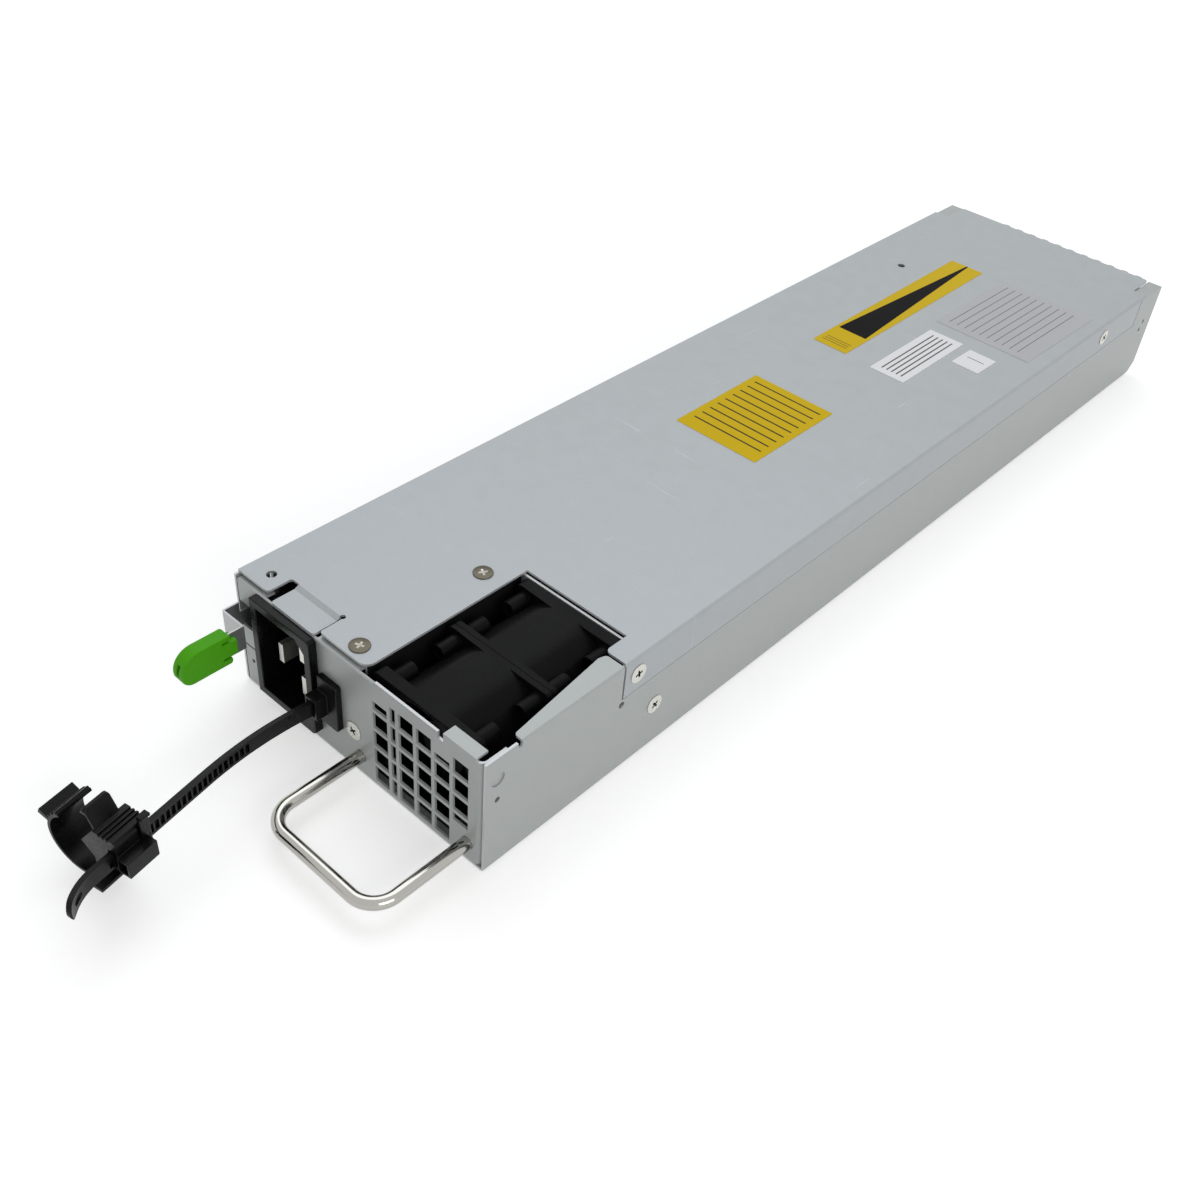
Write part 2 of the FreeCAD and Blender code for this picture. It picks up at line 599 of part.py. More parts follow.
def front_panel():
    body = new_body("front_panel")
    panel_side = wall_inside - s.panel_side_gap
    panel_top = cover_under - s.tab_drop - s.clearance / 2
    raised = cover_under - s.clearance
    add(body, "XZ_Plane", front, panel_back, polygon(
        (-panel_side, s.panel_bottom), (panel_side, s.panel_bottom), (panel_side, raised),
        (grille_tab_right, raised), (grille_tab_right, s.case_height),
        (grille_tab_left, s.case_height), (grille_tab_left, raised - s.notch_depth),
        (fan_x + s.grille_rise_end, raised - s.notch_depth), (fan_x + s.grille_rise_end, raised),
        (fan_x + s.grille_step, raised), (fan_x + s.grille_step, panel_top), (-panel_side, panel_top)))
    add(body, "XZ_Plane", front, front + s.panel_side_flange,
        box_outline(panel_side - s.sheet, s.panel_bottom, panel_side, raised))
    soften(body, "Fillet", s.panel_bend_radius - s.sheet, ["z"],
           lambda p: near(p.y, panel_back) and near(p.x, panel_side - s.sheet))
    soften(body, "Fillet", s.panel_bend_radius, ["z"],
           lambda p: near(p.y, front) and near(p.x, panel_side))
    add(body, "XY_Plane", panel_top - s.sheet, panel_top,
        box_outline(-panel_side, front, tab_left - s.tab_slot_width - s.clearance,
                    front + s.panel_top_flange),
        box_outline(tab_right + s.tab_slit_width, front, divider - s.clearance,
                    front + s.panel_top_flange))
    add(body, "XY_Plane", cover_under, s.case_height,
        box_outline(grille_tab_left, front, grille_tab_right, front + s.grille_tab_length))
    soften(body, "Fillet", s.sheet * 0.8, ["x"],
           lambda p: near(p.y, front) and near(p.z, panel_top))
    add(body, "XY_Plane", s.panel_bottom, s.panel_bottom + s.sheet, box_outline(
        -panel_side, panel_back - s.sheet / 2, handle_left - s.washer_radius - s.clearance,
        front + s.panel_bottom_flange))
    for cells in grille_columns():
        cut(body, "XZ_Plane", front, panel_back, *cells)
    body_half = s.bezel_width / 2 - s.bezel_rim + s.socket_wall / 2 + s.clearance
    body_high = s.bezel_height / 2 - s.bezel_rim + s.socket_wall / 2 + s.clearance
    cut(body, "XZ_Plane", front, panel_back, box_outline(
        inlet_x - body_half, s.inlet_centre_z - body_high,
        inlet_x + body_half, s.inlet_centre_z + body_high))
    anchor_x = (anchor_left + anchor_right) / 2
    cut(body, "XZ_Plane", front, panel_back,
        circle(handle_left, s.handle_height, s.handle_wire_radius + s.clearance / 2),
        circle(handle_right, s.handle_height, s.handle_wire_radius + s.clearance / 2),
        circle(anchor_x, s.strap_z, s.anchor_foot_radius + s.clearance),
        circle(panel_screw_x, s.panel_screw_height, s.screw_hole_radius))
    latch_travel = s.leaf_return / 2
    cut(body, "XZ_Plane", front, panel_back,
        box_outline(-side, s.leaf_low - s.latch_slot_margin,
                    -panel_side + latch_travel + s.leaf_sheet, s.leaf_high + s.latch_slot_margin),
        box_outline(-panel_side + s.clearance, s.panel_slit_height,
                    -panel_side + latch_travel - s.clearance, s.panel_slit_height + s.panel_slit_width),
        circle(-panel_side + latch_travel / 2 + s.sheet, s.panel_oval_height, s.panel_slit_width))
    return body


# Rear panel: a plate with flanges, a field of round vents and the window of the output connector.

def rear_panel():
    body = new_body("rear_panel")
    panel_side = wall_inside - s.sheet - s.panel_side_gap
    outside = rear - s.rear_panel_setback
    inside = outside - s.sheet
    top = cover_under - s.sheet - s.clearance
    add(body, "XZ_Plane", inside, outside, box_outline(-panel_side, floor_top, panel_side, top))
    add(body, "XY_Plane", floor_top, floor_top + s.sheet,
        box_outline(-panel_side, inside - s.rear_flange, panel_side, inside + s.sheet / 2))
    add(body, "XY_Plane", top - s.sheet, top,
        box_outline(-panel_side, inside - s.rear_flange, panel_side, inside + s.sheet / 2))
    soften(body, "Fillet", s.sheet, ["x"],
           lambda p: near(p.y, outside) and near(p.z, top))
    half = s.connector_width / 2 + s.clearance
    cut(body, "XZ_Plane", inside, outside, box_outline(
        -half, board_top() - s.clearance, half, board_top() + s.connector_height + s.clearance))
    reach = panel_side - s.vent_edge
    for row in range(int(SIZES["vent_rows"])):
        vents = []
        shift = s.vent_pitch / 2 if row % 2 else as_length(0)
        for column in range(-9, 9):
            x = s.vent_pitch * column + shift
            if abs(float(x)) < float(reach):
                vents.append(circle(x, s.vent_first_z + s.vent_pitch * row * math.sqrt(3) / 2,
                                    s.vent_radius))
        cut(body, "XZ_Plane", inside, outside, *vents)
    return body


# Fan bracket: the wall between fan and inlet, with a flange under the cover, a foot behind the
# panel's screw and a ring plate that carries the fan from behind.

def fan_bracket():
    body = new_body("fan_bracket")
    fan_rear = front + s.fan_setback + s.fan_depth * 2
    plate = fan_rear + s.ring_plate_gap
    end = plate + s.sheet
    left = divider
    add(body, "XY_Plane", floor_top, cover_under,
        box_outline(left, front + s.divider_start, left + s.sheet, end))
    add(body, "XY_Plane", cover_under - s.sheet, cover_under,
        box_outline(left - s.divider_top_flange, front + s.divider_start, left + s.sheet, end))
    add(body, "XZ_Plane", panel_back, front + s.divider_start + s.sheet,
        box_outline(left, s.divider_flange_low, left + s.sheet, s.divider_flange_high))
    add(body, "XZ_Plane", panel_back, panel_back + s.sheet,
        box_outline(left - s.divider_front_flange, s.divider_flange_low, left + s.sheet,
                    s.divider_flange_high))
    add(body, "XZ_Plane", plate, end,
        box_outline(left, floor_top, fan_x + s.ring_plate_right, cover_under - s.clearance))
    cut(body, "XZ_Plane", plate, end, circle(fan_x, fan_z, s.fan_bore_radius),
        *[circle(fan_x + s.fan_corner_hole * i, fan_z + s.fan_corner_hole * k,
                 s.fan_hole_radius) for i in (-1, 1) for k in (-1, 1)])
    for setback in (s.top_screw_front, s.top_screw_rear):
        cut(body, "XY_Plane", cover_under - s.sheet, cover_under,
            circle(top_screw_x, front + setback, s.screw_hole_radius))
    cut(body, "XZ_Plane", panel_back, panel_back + s.sheet,
        circle(panel_screw_x, s.panel_screw_height, s.screw_hole_radius))
    return body


# Fan: each frame is a round barrel between two square flanges, with short bosses for the screws
# and a motor plate on four struts at the seam between the two units.

BARREL_ANGLES = (12, 25, 38, 52, 65, 78)


def fan_corner(i, k):
    """What one corner of the square frame has outside its barrel."""
    reach = s.fan_size / 2 + s.clearance
    turns = [math.radians(angle) for angle in BARREL_ANGLES]
    points = [(reach, s.fan_barrel_radius * math.sin(turns[0]))]
    for turn in turns:
        points.append((s.fan_barrel_radius * math.cos(turn), s.fan_barrel_radius * math.sin(turn)))
    points += [(s.fan_barrel_radius * math.cos(turns[-1]), reach), (reach, reach)]
    return polygon(*[(fan_x + x * i, fan_z + z * k) for x, z in points])


def fan_frame(name, start, seam_at_end):
    body = new_body(name)
    end = start + s.fan_depth
    half = s.fan_size / 2
    add(body, "XZ_Plane", start, end,
        box_outline(fan_x - half, fan_z - half, fan_x + half, fan_z + half),
        circle(fan_x, fan_z, s.fan_bore_radius))
    soften(body, "Fillet", s.fan_corner_radius, ["y"],
           lambda p: near(abs(p.x - float(fan_x)), half) and near(abs(p.z - float(fan_z)), half))
    quarters = [(i, k) for i in (-1, 1) for k in (-1, 1)]
    corners = [fan_corner(i, k) for i, k in quarters]
    bosses = [circle(fan_x + s.fan_corner_hole * i, fan_z + s.fan_corner_hole * k, s.fan_boss_radius)
              for i, k in quarters]
    low = start + (s.fan_flange if seam_at_end else s.fan_seam_flange)
    high = end - (s.fan_seam_flange if seam_at_end else s.fan_flange)
    cut(body, "XZ_Plane", low, high, *corners)
    add(body, "XZ_Plane", low, low + s.fan_boss_length, *bosses)
    add(body, "XZ_Plane", high - s.fan_boss_length, high, *bosses)
    seam_low = end - s.motor_plate if seam_at_end else start
    strut_low = end - s.strut_depth if seam_at_end else start
    bar = s.strut_width / 2
    reach = s.fan_bore_radius + s.clearance
    add(body, "XZ_Plane", strut_low, strut_low + s.strut_depth, polygon(
        (fan_x - bar, fan_z - reach), (fan_x + bar, fan_z - reach),
        (fan_x + bar, fan_z - bar), (fan_x + reach, fan_z - bar),
        (fan_x + reach, fan_z + bar), (fan_x + bar, fan_z + bar),
        (fan_x + bar, fan_z + reach), (fan_x - bar, fan_z + reach),
        (fan_x - bar, fan_z + bar), (fan_x - reach, fan_z + bar),
        (fan_x - reach, fan_z - bar), (fan_x - bar, fan_z - bar)))
    add(body, "XZ_Plane", seam_low, seam_low + s.motor_plate,
        circle(fan_x, fan_z, s.motor_plate_radius))
    cut(body, "XZ_Plane", strut_low, strut_low + s.strut_depth,
        circle(fan_x, fan_z, s.bearing_radius))
    cut(body, "XZ_Plane", start, end,
        *[circle(fan_x + s.fan_corner_hole * i, fan_z + s.fan_corner_hole * k,
                 s.screw_shank_radius) for i in (-1, 1) for k in (-1, 1)])
    return body


def impeller(name, open_end, direction, count_name):
    """A cup with twisted blades about the Y axis. The cup opens towards its motor plate."""
    body = new_body(name)
    nose = s.hub_depth * -direction
    low, high = sorted((nose, as_length(0)), key=float)
    add(body, "XZ_Plane", low, high, circle(0, 0, s.hub_radius))
    soften(body, "Chamfer", s.hub_nose_chamfer, ["round"], lambda p: near(p.y, nose))
    cup_end = nose + s.hub_wall * direction
    low, high = sorted((cup_end, as_length(0)), key=float)
    cut(body, "XZ_Plane", low, high, circle(0, 0, s.hub_radius - s.hub_wall))
    boss_end = cup_end + s.hub_boss_depth * direction
    low, high = sorted((cup_end, boss_end), key=float)
    add(body, "XZ_Plane", low, high, circle(0, 0, s.hub_boss_radius))
    low, high = sorted((nose + s.hub_wall * direction / 2, boss_end), key=float)
    cut(body, "XZ_Plane", low, high, circle(0, 0, s.shaft_radius))
    tip_radius = s.fan_bore_radius - s.blade_tip_gap
    middle = nose * 0.5
    sections = []
    for radius, sweep in ((s.hub_radius - s.hub_wall / 2, s.blade_root_sweep),
                          (tip_radius + s.blade_tip_gap, s.blade_tip_sweep)):
        sketch = new_sketch(body, "YZ_Plane", radius)
        half = s.blade_chord / 2
        thick = s.fan_blade_sheet / 2
        draw_polygon(sketch, polygon(
            (middle - half, -sweep - thick), (middle, s.blade_camber - thick),
            (middle + half, sweep - thick), (middle + half, sweep + thick),
            (middle, s.blade_camber + thick), (middle - half, -sweep + thick)))
        sections.append(sketch)
    blade = body.newObject("PartDesign::AdditiveLoft", name + "_blade")
    blade.Profile = sections[0]
    blade.Sections = [sections[1]]
    blade.Ruled = True
    doc.recompute()
    around = body.newObject("PartDesign::PolarPattern", name + "_blades")
    around.Originals = [blade]
    around.Axis = (origin_axis(body, "Y_Axis"), [""])
    around.Angle = 360
    around.setExpression("Occurrences", "Sizes." + count_name)
    body.Tip = around
    doc.recompute()
    big = s.fan_size
    cut(body, "XZ_Plane", middle - s.blade_chord, middle + s.blade_chord,
        circle(0, 0, big), circle(0, 0, tip_radius))
    place(body, fan_x, open_end, floor_top + s.fan_size / 2)
    return body


def ring(name, outer, inner, start, length):
    """A tube about the fan's axis."""
    outside = cylinder(outer, length, fan_x, start, fan_z, "y")
    inside = cylinder(inner, length, fan_x, start, fan_z, "y")
    return carved(name, outside, inside)


def motor(prefix, seam, direction):
    """Magnet ring in the cup, stator on the plate, and a shaft in a sintered bearing."""
    def span(low, length):
        """Start of a stretch that begins at a distance from the seam, into the fan unit."""
        if direction < 0:
            return seam - low - length
        return seam + low
    open_gap = s.strut_depth + s.moving_gap
    magnet_outer = s.hub_radius - s.hub_wall
    ring(prefix + "_rotor_magnet", magnet_outer, magnet_outer - s.magnet_wall,
         span(open_gap + s.stator_lift, s.magnet_length), s.magnet_length)
    ring(prefix + "_stator", s.stator_radius, s.bearing_radius,
         span(s.strut_depth, s.stator_length), s.stator_length)
    ring(prefix + "_bearing", s.bearing_radius, s.shaft_radius + s.running_fit,
         span(as_length(0), s.bearing_length + s.strut_depth), s.bearing_length + s.strut_depth)
    shaft_start = s.strut_depth / 2
    shaft_length = open_gap + s.hub_depth - s.hub_wall - shaft_start
    shaft = cylinder(s.shaft_radius, shaft_length, fan_x,
                     span(shaft_start, shaft_length), fan_z, "y")
    shaft.Label = prefix + "_shaft"


def twin_fan():
    start = front + s.fan_setback
    seam = start + s.fan_depth
    fan_frame("fan_frame_front", start, True)
    fan_frame("fan_frame_rear", seam, False)
    gap = s.strut_depth + s.moving_gap
    impeller("front_impeller", seam - gap, 1, "front_blade_count")
    impeller("rear_impeller", seam + gap, -1, "rear_blade_count")
    motor("front", seam, -1)
    motor("rear", seam, 1)


# Mains inlet: a bezel outside the panel and a socket body behind it. Two corners of the socket
# are cut off on the earth side, so a plug goes in one way only.

def inlet_housing():
    body = new_body("inlet_housing")
    wide = s.bezel_width / 2
    high = s.bezel_height / 2
    add(body, "XZ_Plane", front - s.bezel_depth, front, box_outline(
        inlet_x - wide, s.inlet_centre_z - high,
        inlet_x + wide, s.inlet_centre_z + high))
    shell = s.socket_wall / 2
    wide = wide - s.bezel_rim + shell
    high = high - s.bezel_rim + shell
    add(body, "XZ_Plane", front, front + s.inlet_body_depth, box_outline(
        inlet_x - wide, s.inlet_centre_z - high,
        inlet_x + wide, s.inlet_centre_z + high))
    wide = wide - s.socket_wall
    high = high - s.socket_wall
    left, right = inlet_x - wide, inlet_x + wide
    low, top = s.inlet_centre_z - high, s.inlet_centre_z + high
    bevel = s.socket_chamfer
    cut(body, "XZ_Plane", front - s.bezel_depth, front - s.bezel_depth + s.socket_depth, polygon(
        (left, low), (right - bevel, low), (right, low + bevel), (right, top - bevel),
        (right - bevel, top), (left, top)))
    slots = [box_outline(*blade_outline(x, z)) for x, z in blade_places()]
    cut(body, "XZ_Plane", front - s.bezel_depth + s.socket_depth, front + s.inlet_body_depth, *slots)
    soften(body, "Chamfer", s.bezel_rim / 2, ["y"],
           lambda p: p.y < float(front) + 0.01 and near(p.x, inlet_x + s.bezel_width / 2)
           and near(abs(p.z - float(s.inlet_centre_z)), s.bezel_height / 2))
    return body


def blade_places():
    return ((inlet_x + s.live_offset, s.inlet_centre_z - s.blade_pitch / 2),
            (inlet_x + s.live_offset, s.inlet_centre_z + s.blade_pitch / 2),
            (inlet_x + s.earth_offset, s.inlet_centre_z))


def blade_outline(x, z):
    thick = s.blade_thickness / 2
    tall = s.blade_width / 2
    return (x - thick, z - tall, x + thick, z + tall)


def inlet_blades():
    tip = front - s.bezel_depth + s.blade_tip_depth
    tail = front + s.inlet_body_depth + s.blade_tail
    blades = []
    for x, z in blade_places():
        left, low, right, high = blade_outline(x, z)
        blades.append(cuboid(left, tip, low, right, tail, high))
    group("inlet_blades", blades)


def inlet_board():
    """The upright filter board that the blades are soldered to."""
    start = front + s.inlet_body_depth + s.moving_gap * 5
    wide = s.bezel_width / 2
    plate = cuboid(inlet_x - wide, start, floor_top + s.board_gap,
                   inlet_x + wide, start + s.inlet_board_sheet,
                   floor_top + s.board_gap + s.inlet_board_height)
    slots = []
    for x, z in blade_places():
        left, low, right, high = blade_outline(x, z)
        slots.append(cuboid(left, start, low, right, start + s.inlet_board_sheet, high))
    tool = doc.addObject("Part::MultiFuse", "blade_slots")
    tool.Shapes = slots
    carved("inlet_board", plate, tool)


# Pull handle: a round wire bent into a U, its ends riveted over washers behind the panel.

def pull_handle():
    path = doc.addObject("Part::Feature", "handle_path")
    left = float(handle_left)
    right = float(handle_right)
    inner = float(front + s.handle_end)
    outer = float(front - s.handle_reach)
    height = float(s.handle_height)
    bend = float(s.handle_bend_radius)
    part_bend = bend * (1 - math.sqrt(0.5))

    def at(x, y):
        return FreeCAD.Vector(x, y, height)
    edges = [
        Part.LineSegment(at(left, inner), at(left, outer + bend)),
        Part.Arc(at(left, outer + bend), at(left + part_bend, outer + part_bend),
                 at(left + bend, outer)),
        Part.LineSegment(at(left + bend, outer), at(right - bend, outer)),
        Part.Arc(at(right - bend, outer), at(right - part_bend, outer + part_bend),
                 at(right, outer + bend)),
        Part.LineSegment(at(right, outer + bend), at(right, inner)),
    ]
    path.Shape = Part.Wire([edge.toShape() for edge in edges])
    section = Part.Wire([Part.Circle(at(left, inner), FreeCAD.Vector(0, 1, 0),
                                     float(s.handle_wire_radius)).toShape()])
    handle = doc.addObject("Part::Feature", "pull_handle")
    handle.Label = "pull_handle"
    handle.Shape = path.Shape.makePipeShell([section], True, False)


def handle_washers():
    washers = []
    for x in (handle_left, handle_right):
        disc = cylinder(s.washer_radius, s.washer_sheet, x, panel_back, s.handle_height, "y")
        hole = cylinder(s.handle_wire_radius, s.washer_sheet, x, panel_back, s.handle_height, "y")
        washers.append(carved("washer", disc, hole))
    group("handle_washers", washers)


# Release latch: a spring leaf riveted inside the left wall. Its catch stands out through the
# wall, and its front end folds round to the green grip.

def latch_spring():
    body = new_body("latch_spring")
    outer = -wall_inside + s.moving_gap
    inner = outer + s.leaf_sheet
    nose = front - s.leaf_reach
    tang = outer + s.leaf_return
    neck = front - s.panel_slit_width
    add(body, "XY_Plane", s.leaf_low, s.leaf_high, polygon(
        (outer, neck), (outer, nose), (tang - s.leaf_sheet, nose),
        (tang - s.leaf_sheet, nose - s.tang_length), (tang, nose - s.tang_length),
        (tang, nose + s.leaf_sheet), (inner, nose + s.leaf_sheet), (inner, neck)))
    soften(body, "Fillet", s.leaf_sheet, ["z"],
           lambda p: near(p.y, nose) and near(p.x, outer))
    add(body, "XY_Plane", s.leaf_low, s.leaf_arm_high,
        box_outline(outer, neck, inner, front + s.leaf_root))
    middle = front + s.catch_setback
    half = s.catch_length / 2
    add(body, "XY_Plane", s.catch_low, s.catch_high, polygon(
        (inner, middle - half), (inner, middle + half), (outer, middle + half),
        (outer - s.catch_reach, middle - half + s.leaf_sheet), (outer - s.catch_reach, middle - half)))
    spread = s.rivet_spread / 2
    centre = (s.leaf_low + s.leaf_arm_high) / 2
    cut(body, "YZ_Plane", outer, inner,
        *[circle(front + s.latch_pivot, height, s.rivet_radius + s.clearance)
          for height in (centre - spread, centre + spread)])
    return body


def latch_grip():
    """A moulded grip pushed over the leaf's tang, with a rounded nose and two rear ears."""
    body = new_body("latch_grip")
    tang = -wall_inside + s.moving_gap + s.leaf_return - s.leaf_sheet / 2
    left = tang - s.grip_width / 2
    right = tang + s.grip_width / 2
    nose = front - s.grip_front
    back = front - s.grip_rear
    ear = back - s.grip_ear_setback
    add(body, "YZ_Plane", left, right, polygon(
        (nose, s.grip_low), (ear, s.grip_low), (ear, s.grip_low + s.grip_ear),
        (ear - s.grip_ear_slot_length, s.grip_low + s.grip_ear),
        (ear - s.grip_ear_slot_length, s.grip_low + s.grip_ear + s.grip_ear_slot),
        (back, s.grip_low + s.grip_ear + s.grip_ear_slot),
        (back, s.grip_high - s.grip_ear - s.grip_ear_slot),
        (ear - s.grip_ear_slot_length, s.grip_high - s.grip_ear - s.grip_ear_slot),
        (ear - s.grip_ear_slot_length, s.grip_high - s.grip_ear),
        (ear, s.grip_high - s.grip_ear), (ear, s.grip_high), (nose, s.grip_high)))
    soften(body, "Fillet", s.grip_top_nose, ["x"], lambda p: near(p.y, nose) and near(p.z, s.grip_high))
    soften(body, "Fillet", s.grip_low_nose, ["x"], lambda p: near(p.y, nose) and near(p.z, s.grip_low))
    soften(body, "Fillet", s.grip_ear / 2, ["x"],
           lambda p: near(p.y, ear) and (near(p.z, s.grip_low) or near(p.z, s.grip_high)))
    slot = s.leaf_sheet / 2
    cut(body, "XY_Plane", s.leaf_low, s.leaf_high, box_outline(
        tang - slot, front - s.leaf_reach - s.tang_length, tang + slot, back))
    cut(body, "XY_Plane", s.grip_low + s.grip_low_nose, s.grip_high - s.grip_top_nose / 2,
        box_outline(tang - s.grip_nose_slot / 2, nose, tang + s.grip_nose_slot / 2,
                    nose + s.grip_nose_slot_depth))
    return body


def latch_rivets():
    """Two rivets through the wall and the leaf, on the line that the leaf bends about."""
    rivets = []
    spread = s.rivet_spread / 2
    centre = (s.leaf_low + s.leaf_arm_high) / 2
    inner = -wall_inside + s.moving_gap * 2 + s.leaf_sheet
    y = front + s.latch_pivot
    for height in (centre - spread, centre + spread):
        shank = cylinder(s.rivet_radius, inner + side, -side, y, height, "x")
        head = cylinder(s.rivet_head_radius, s.rivet_head, inner, y, height, "x")
        rivets.append(joined("rivet", [shank, head]))
    group("latch_rivets", rivets)


# Strap anchor: a plate on the panel with a snap foot behind and a socket for the strap in front.

def strap_anchor():
    body = new_body("strap_anchor")
    add(body, "XZ_Plane", front - s.anchor_sheet, front,
        box_outline(anchor_left, s.anchor_low, anchor_right, s.anchor_high))
    soften(body, "Fillet", s.anchor_sheet / 2, ["y"],
           lambda p: near(p.x, anchor_right) and (near(p.z, s.anchor_low) or near(p.z, s.anchor_high)))
    middle = (anchor_left + anchor_right) / 2
    add(body, "XZ_Plane", front - s.anchor_sheet / 2, panel_back + s.clearance,
        circle(middle, s.strap_z, s.anchor_foot_radius))
    add(body, "XZ_Plane", panel_back + s.clearance / 2, panel_back + s.anchor_sheet,
        box_outline(middle - s.anchor_foot_radius / 2, s.strap_z - s.anchor_foot_radius * 1.5,
                    middle + s.anchor_foot_radius / 2, s.strap_z + s.anchor_foot_radius * 1.5))
    boss_high = s.anchor_boss_height / 2
    boss_front = front - s.anchor_sheet - s.anchor_boss_depth
    socket_right = strap_x + s.strap_thick / 2 + s.clearance * 2
    socket_left = strap_x - s.strap_thick / 2 - s.clearance * 2 - s.anchor_socket_lean
    socket_high = s.strap_width / 2 + s.clearance / 2
    add(body, "XZ_Plane", boss_front, front - s.anchor_sheet / 2, box_outline(
        socket_left - s.anchor_boss_wall, s.strap_z - boss_high,
        socket_right + s.anchor_boss_wall, s.strap_z + boss_high))
    cut(body, "XZ_Plane", boss_front, boss_front + s.anchor_socket_depth, box_outline(
        socket_left, s.strap_z - socket_high, socket_right, s.strap_z + socket_high))
    return body


# Retaining strap: a flat nylon strap on edge, with a ladder of teeth on its right face. It bows
# out of the anchor, runs straight through the clamp and ends in a curled tail with an eyelet.
# It is drawn with its straight stretch along its own -Y, from the end of the bow.

def strap_start():
    """Where the straight stretch begins, from the bow's two headings."""
    root = math.radians(SIZES["strap_root_turn"])
    yaw = math.radians(SIZES["strap_yaw"])
    bow = s.strap_bend_radius
    root_y = front - s.anchor_sheet - s.anchor_boss_depth + s.anchor_socket_depth - s.clearance
    x = strap_x + bow * (math.cos(root) - math.cos(yaw))
    y = root_y - bow * (math.sin(root) + math.sin(yaw))
    return x, y


def strap_section(sketch):
    thick = s.strap_thick / 2
    wide = s.strap_width / 2
    draw_polygon(sketch, box_outline(-thick, -wide, thick, wide))


def revolve_about_upright(body, name, axis_x, level, angle, reverse):
    """Turns the strap's section about an upright line beside it."""
    sketch = new_sketch(body, "XZ_Plane", as_length(level))
    strap_section(sketch)
    line = Part.LineSegment(FreeCAD.Vector(float(axis_x), -1, 0), FreeCAD.Vector(float(axis_x), 1, 0))
    edge = sketch.addGeometry(line, True)
    pin_point(sketch, edge, 1, axis_x, as_length(-1))
    pin_point(sketch, edge, 2, axis_x, as_length(1))
    feature = body.newObject("PartDesign::Revolution", name)
    feature.Profile = sketch
    feature.ReferenceAxis = (sketch, ["Axis0"])
    feature.setExpression("Angle", angle.text)
    feature.Reversed = reverse
    doc.recompute()
    return feature


TIP_ANGLES = (90, 68, 45, 22, 0, -22, -45, -68, -90)


def tip_outline(end):
    """What the strap's rounded tip leaves out of its square end, seen from the side."""
    wide = s.strap_width / 2
    beyond = end - s.strap_thick
    points = [(beyond, wide + s.clearance), (end + s.tail_tip, wide + s.clearance)]
    for turn in [math.radians(angle) for angle in TIP_ANGLES]:
        points.append((end + s.tail_tip * (1 - math.cos(turn)), wide * math.sin(turn)))
    points += [(end + s.tail_tip, -wide - s.clearance), (beyond, -wide - s.clearance)]
    return polygon(*points)


def retaining_strap():
    body = new_body("retaining_strap")
    thick = s.strap_thick / 2
    wide = s.strap_width / 2
    add(body, "XY_Plane", -wide, wide, box_outline(-thick, -s.strap_straight, thick, 0))
    bow = revolve_about_upright(body, "strap_bow", s.strap_bend_radius, as_length(0),
                                s.strap_root_turn + s.strap_yaw, True)
    revolve_about_upright(body, "strap_tail", s.tail_radius, -s.strap_straight,
                          s.tail_turn, False)
    window = cut(body, "YZ_Plane", thick - s.ladder_depth, thick, box_outline(
        -s.ladder_pitch, -wide + s.ladder_rail, -s.ladder_rung, wide - s.ladder_rail))
    repeat_along(body, window, "Y_Axis", s.ladder_pitch, "ladder_count", True)
    around = body.newObject("PartDesign::PolarPattern", "bow_ladder")
    around.Originals = [window]
    around.Axis = (bow.Profile[0], ["Axis0"])
    around.Reversed = True
    around.setExpression("Angle", "%s / %s * (%s - 1) * 180 / pi * 1deg" % (
        s.ladder_pitch.text, s.strap_bend_radius.text, "Sizes.bow_ladder_count"))
    around.setExpression("Occurrences", "Sizes.bow_ladder_count")
    body.Tip = around
    doc.recompute()
    turn = math.radians(SIZES["tail_turn"])
    end = -s.strap_straight - s.tail_radius * math.sin(turn)
    reach = s.tail_radius * (1 - math.cos(turn)) + s.strap_thick
    cut(body, "YZ_Plane", -thick, reach, tip_outline(end))
    middle = end + s.eyelet_setback + s.eyelet_length / 2
    long = s.eyelet_length / 2
    narrow = s.eyelet_width / 2
    cut(body, "YZ_Plane", -thick, reach, polygon(
        (middle - long, -narrow / 2), (middle - long / 2, -narrow), (middle + long / 2, -narrow),
        (middle + long, -narrow / 2), (middle + long, narrow / 2), (middle + long / 2, narrow),
        (middle - long / 2, narrow), (middle - long, narrow / 2)))
    x, y = strap_start()
    place(body, x, y, s.strap_z)
    body.Placement.Rotation = FreeCAD.Rotation(FreeCAD.Vector(0, 0, 1), SIZES["strap_yaw"])
    return body


# Cord clamp: a sleeve that slides on the strap, with a block on its right, a fixed finger on its
# left, and a loop that hinges up from its lower edge to close over the cord.

def place_clamp(item):
    """The clamp's own frame: origin on the strap's centre line, Y along the strap."""
    yaw = math.radians(SIZES["strap_yaw"])
    x, y = strap_start()
    place(item, x + s.clamp_place * math.sin(yaw), y - s.clamp_place * math.cos(yaw), s.strap_z)
    item.Placement.Rotation = FreeCAD.Rotation(FreeCAD.Vector(0, 0, 1), SIZES["strap_yaw"])


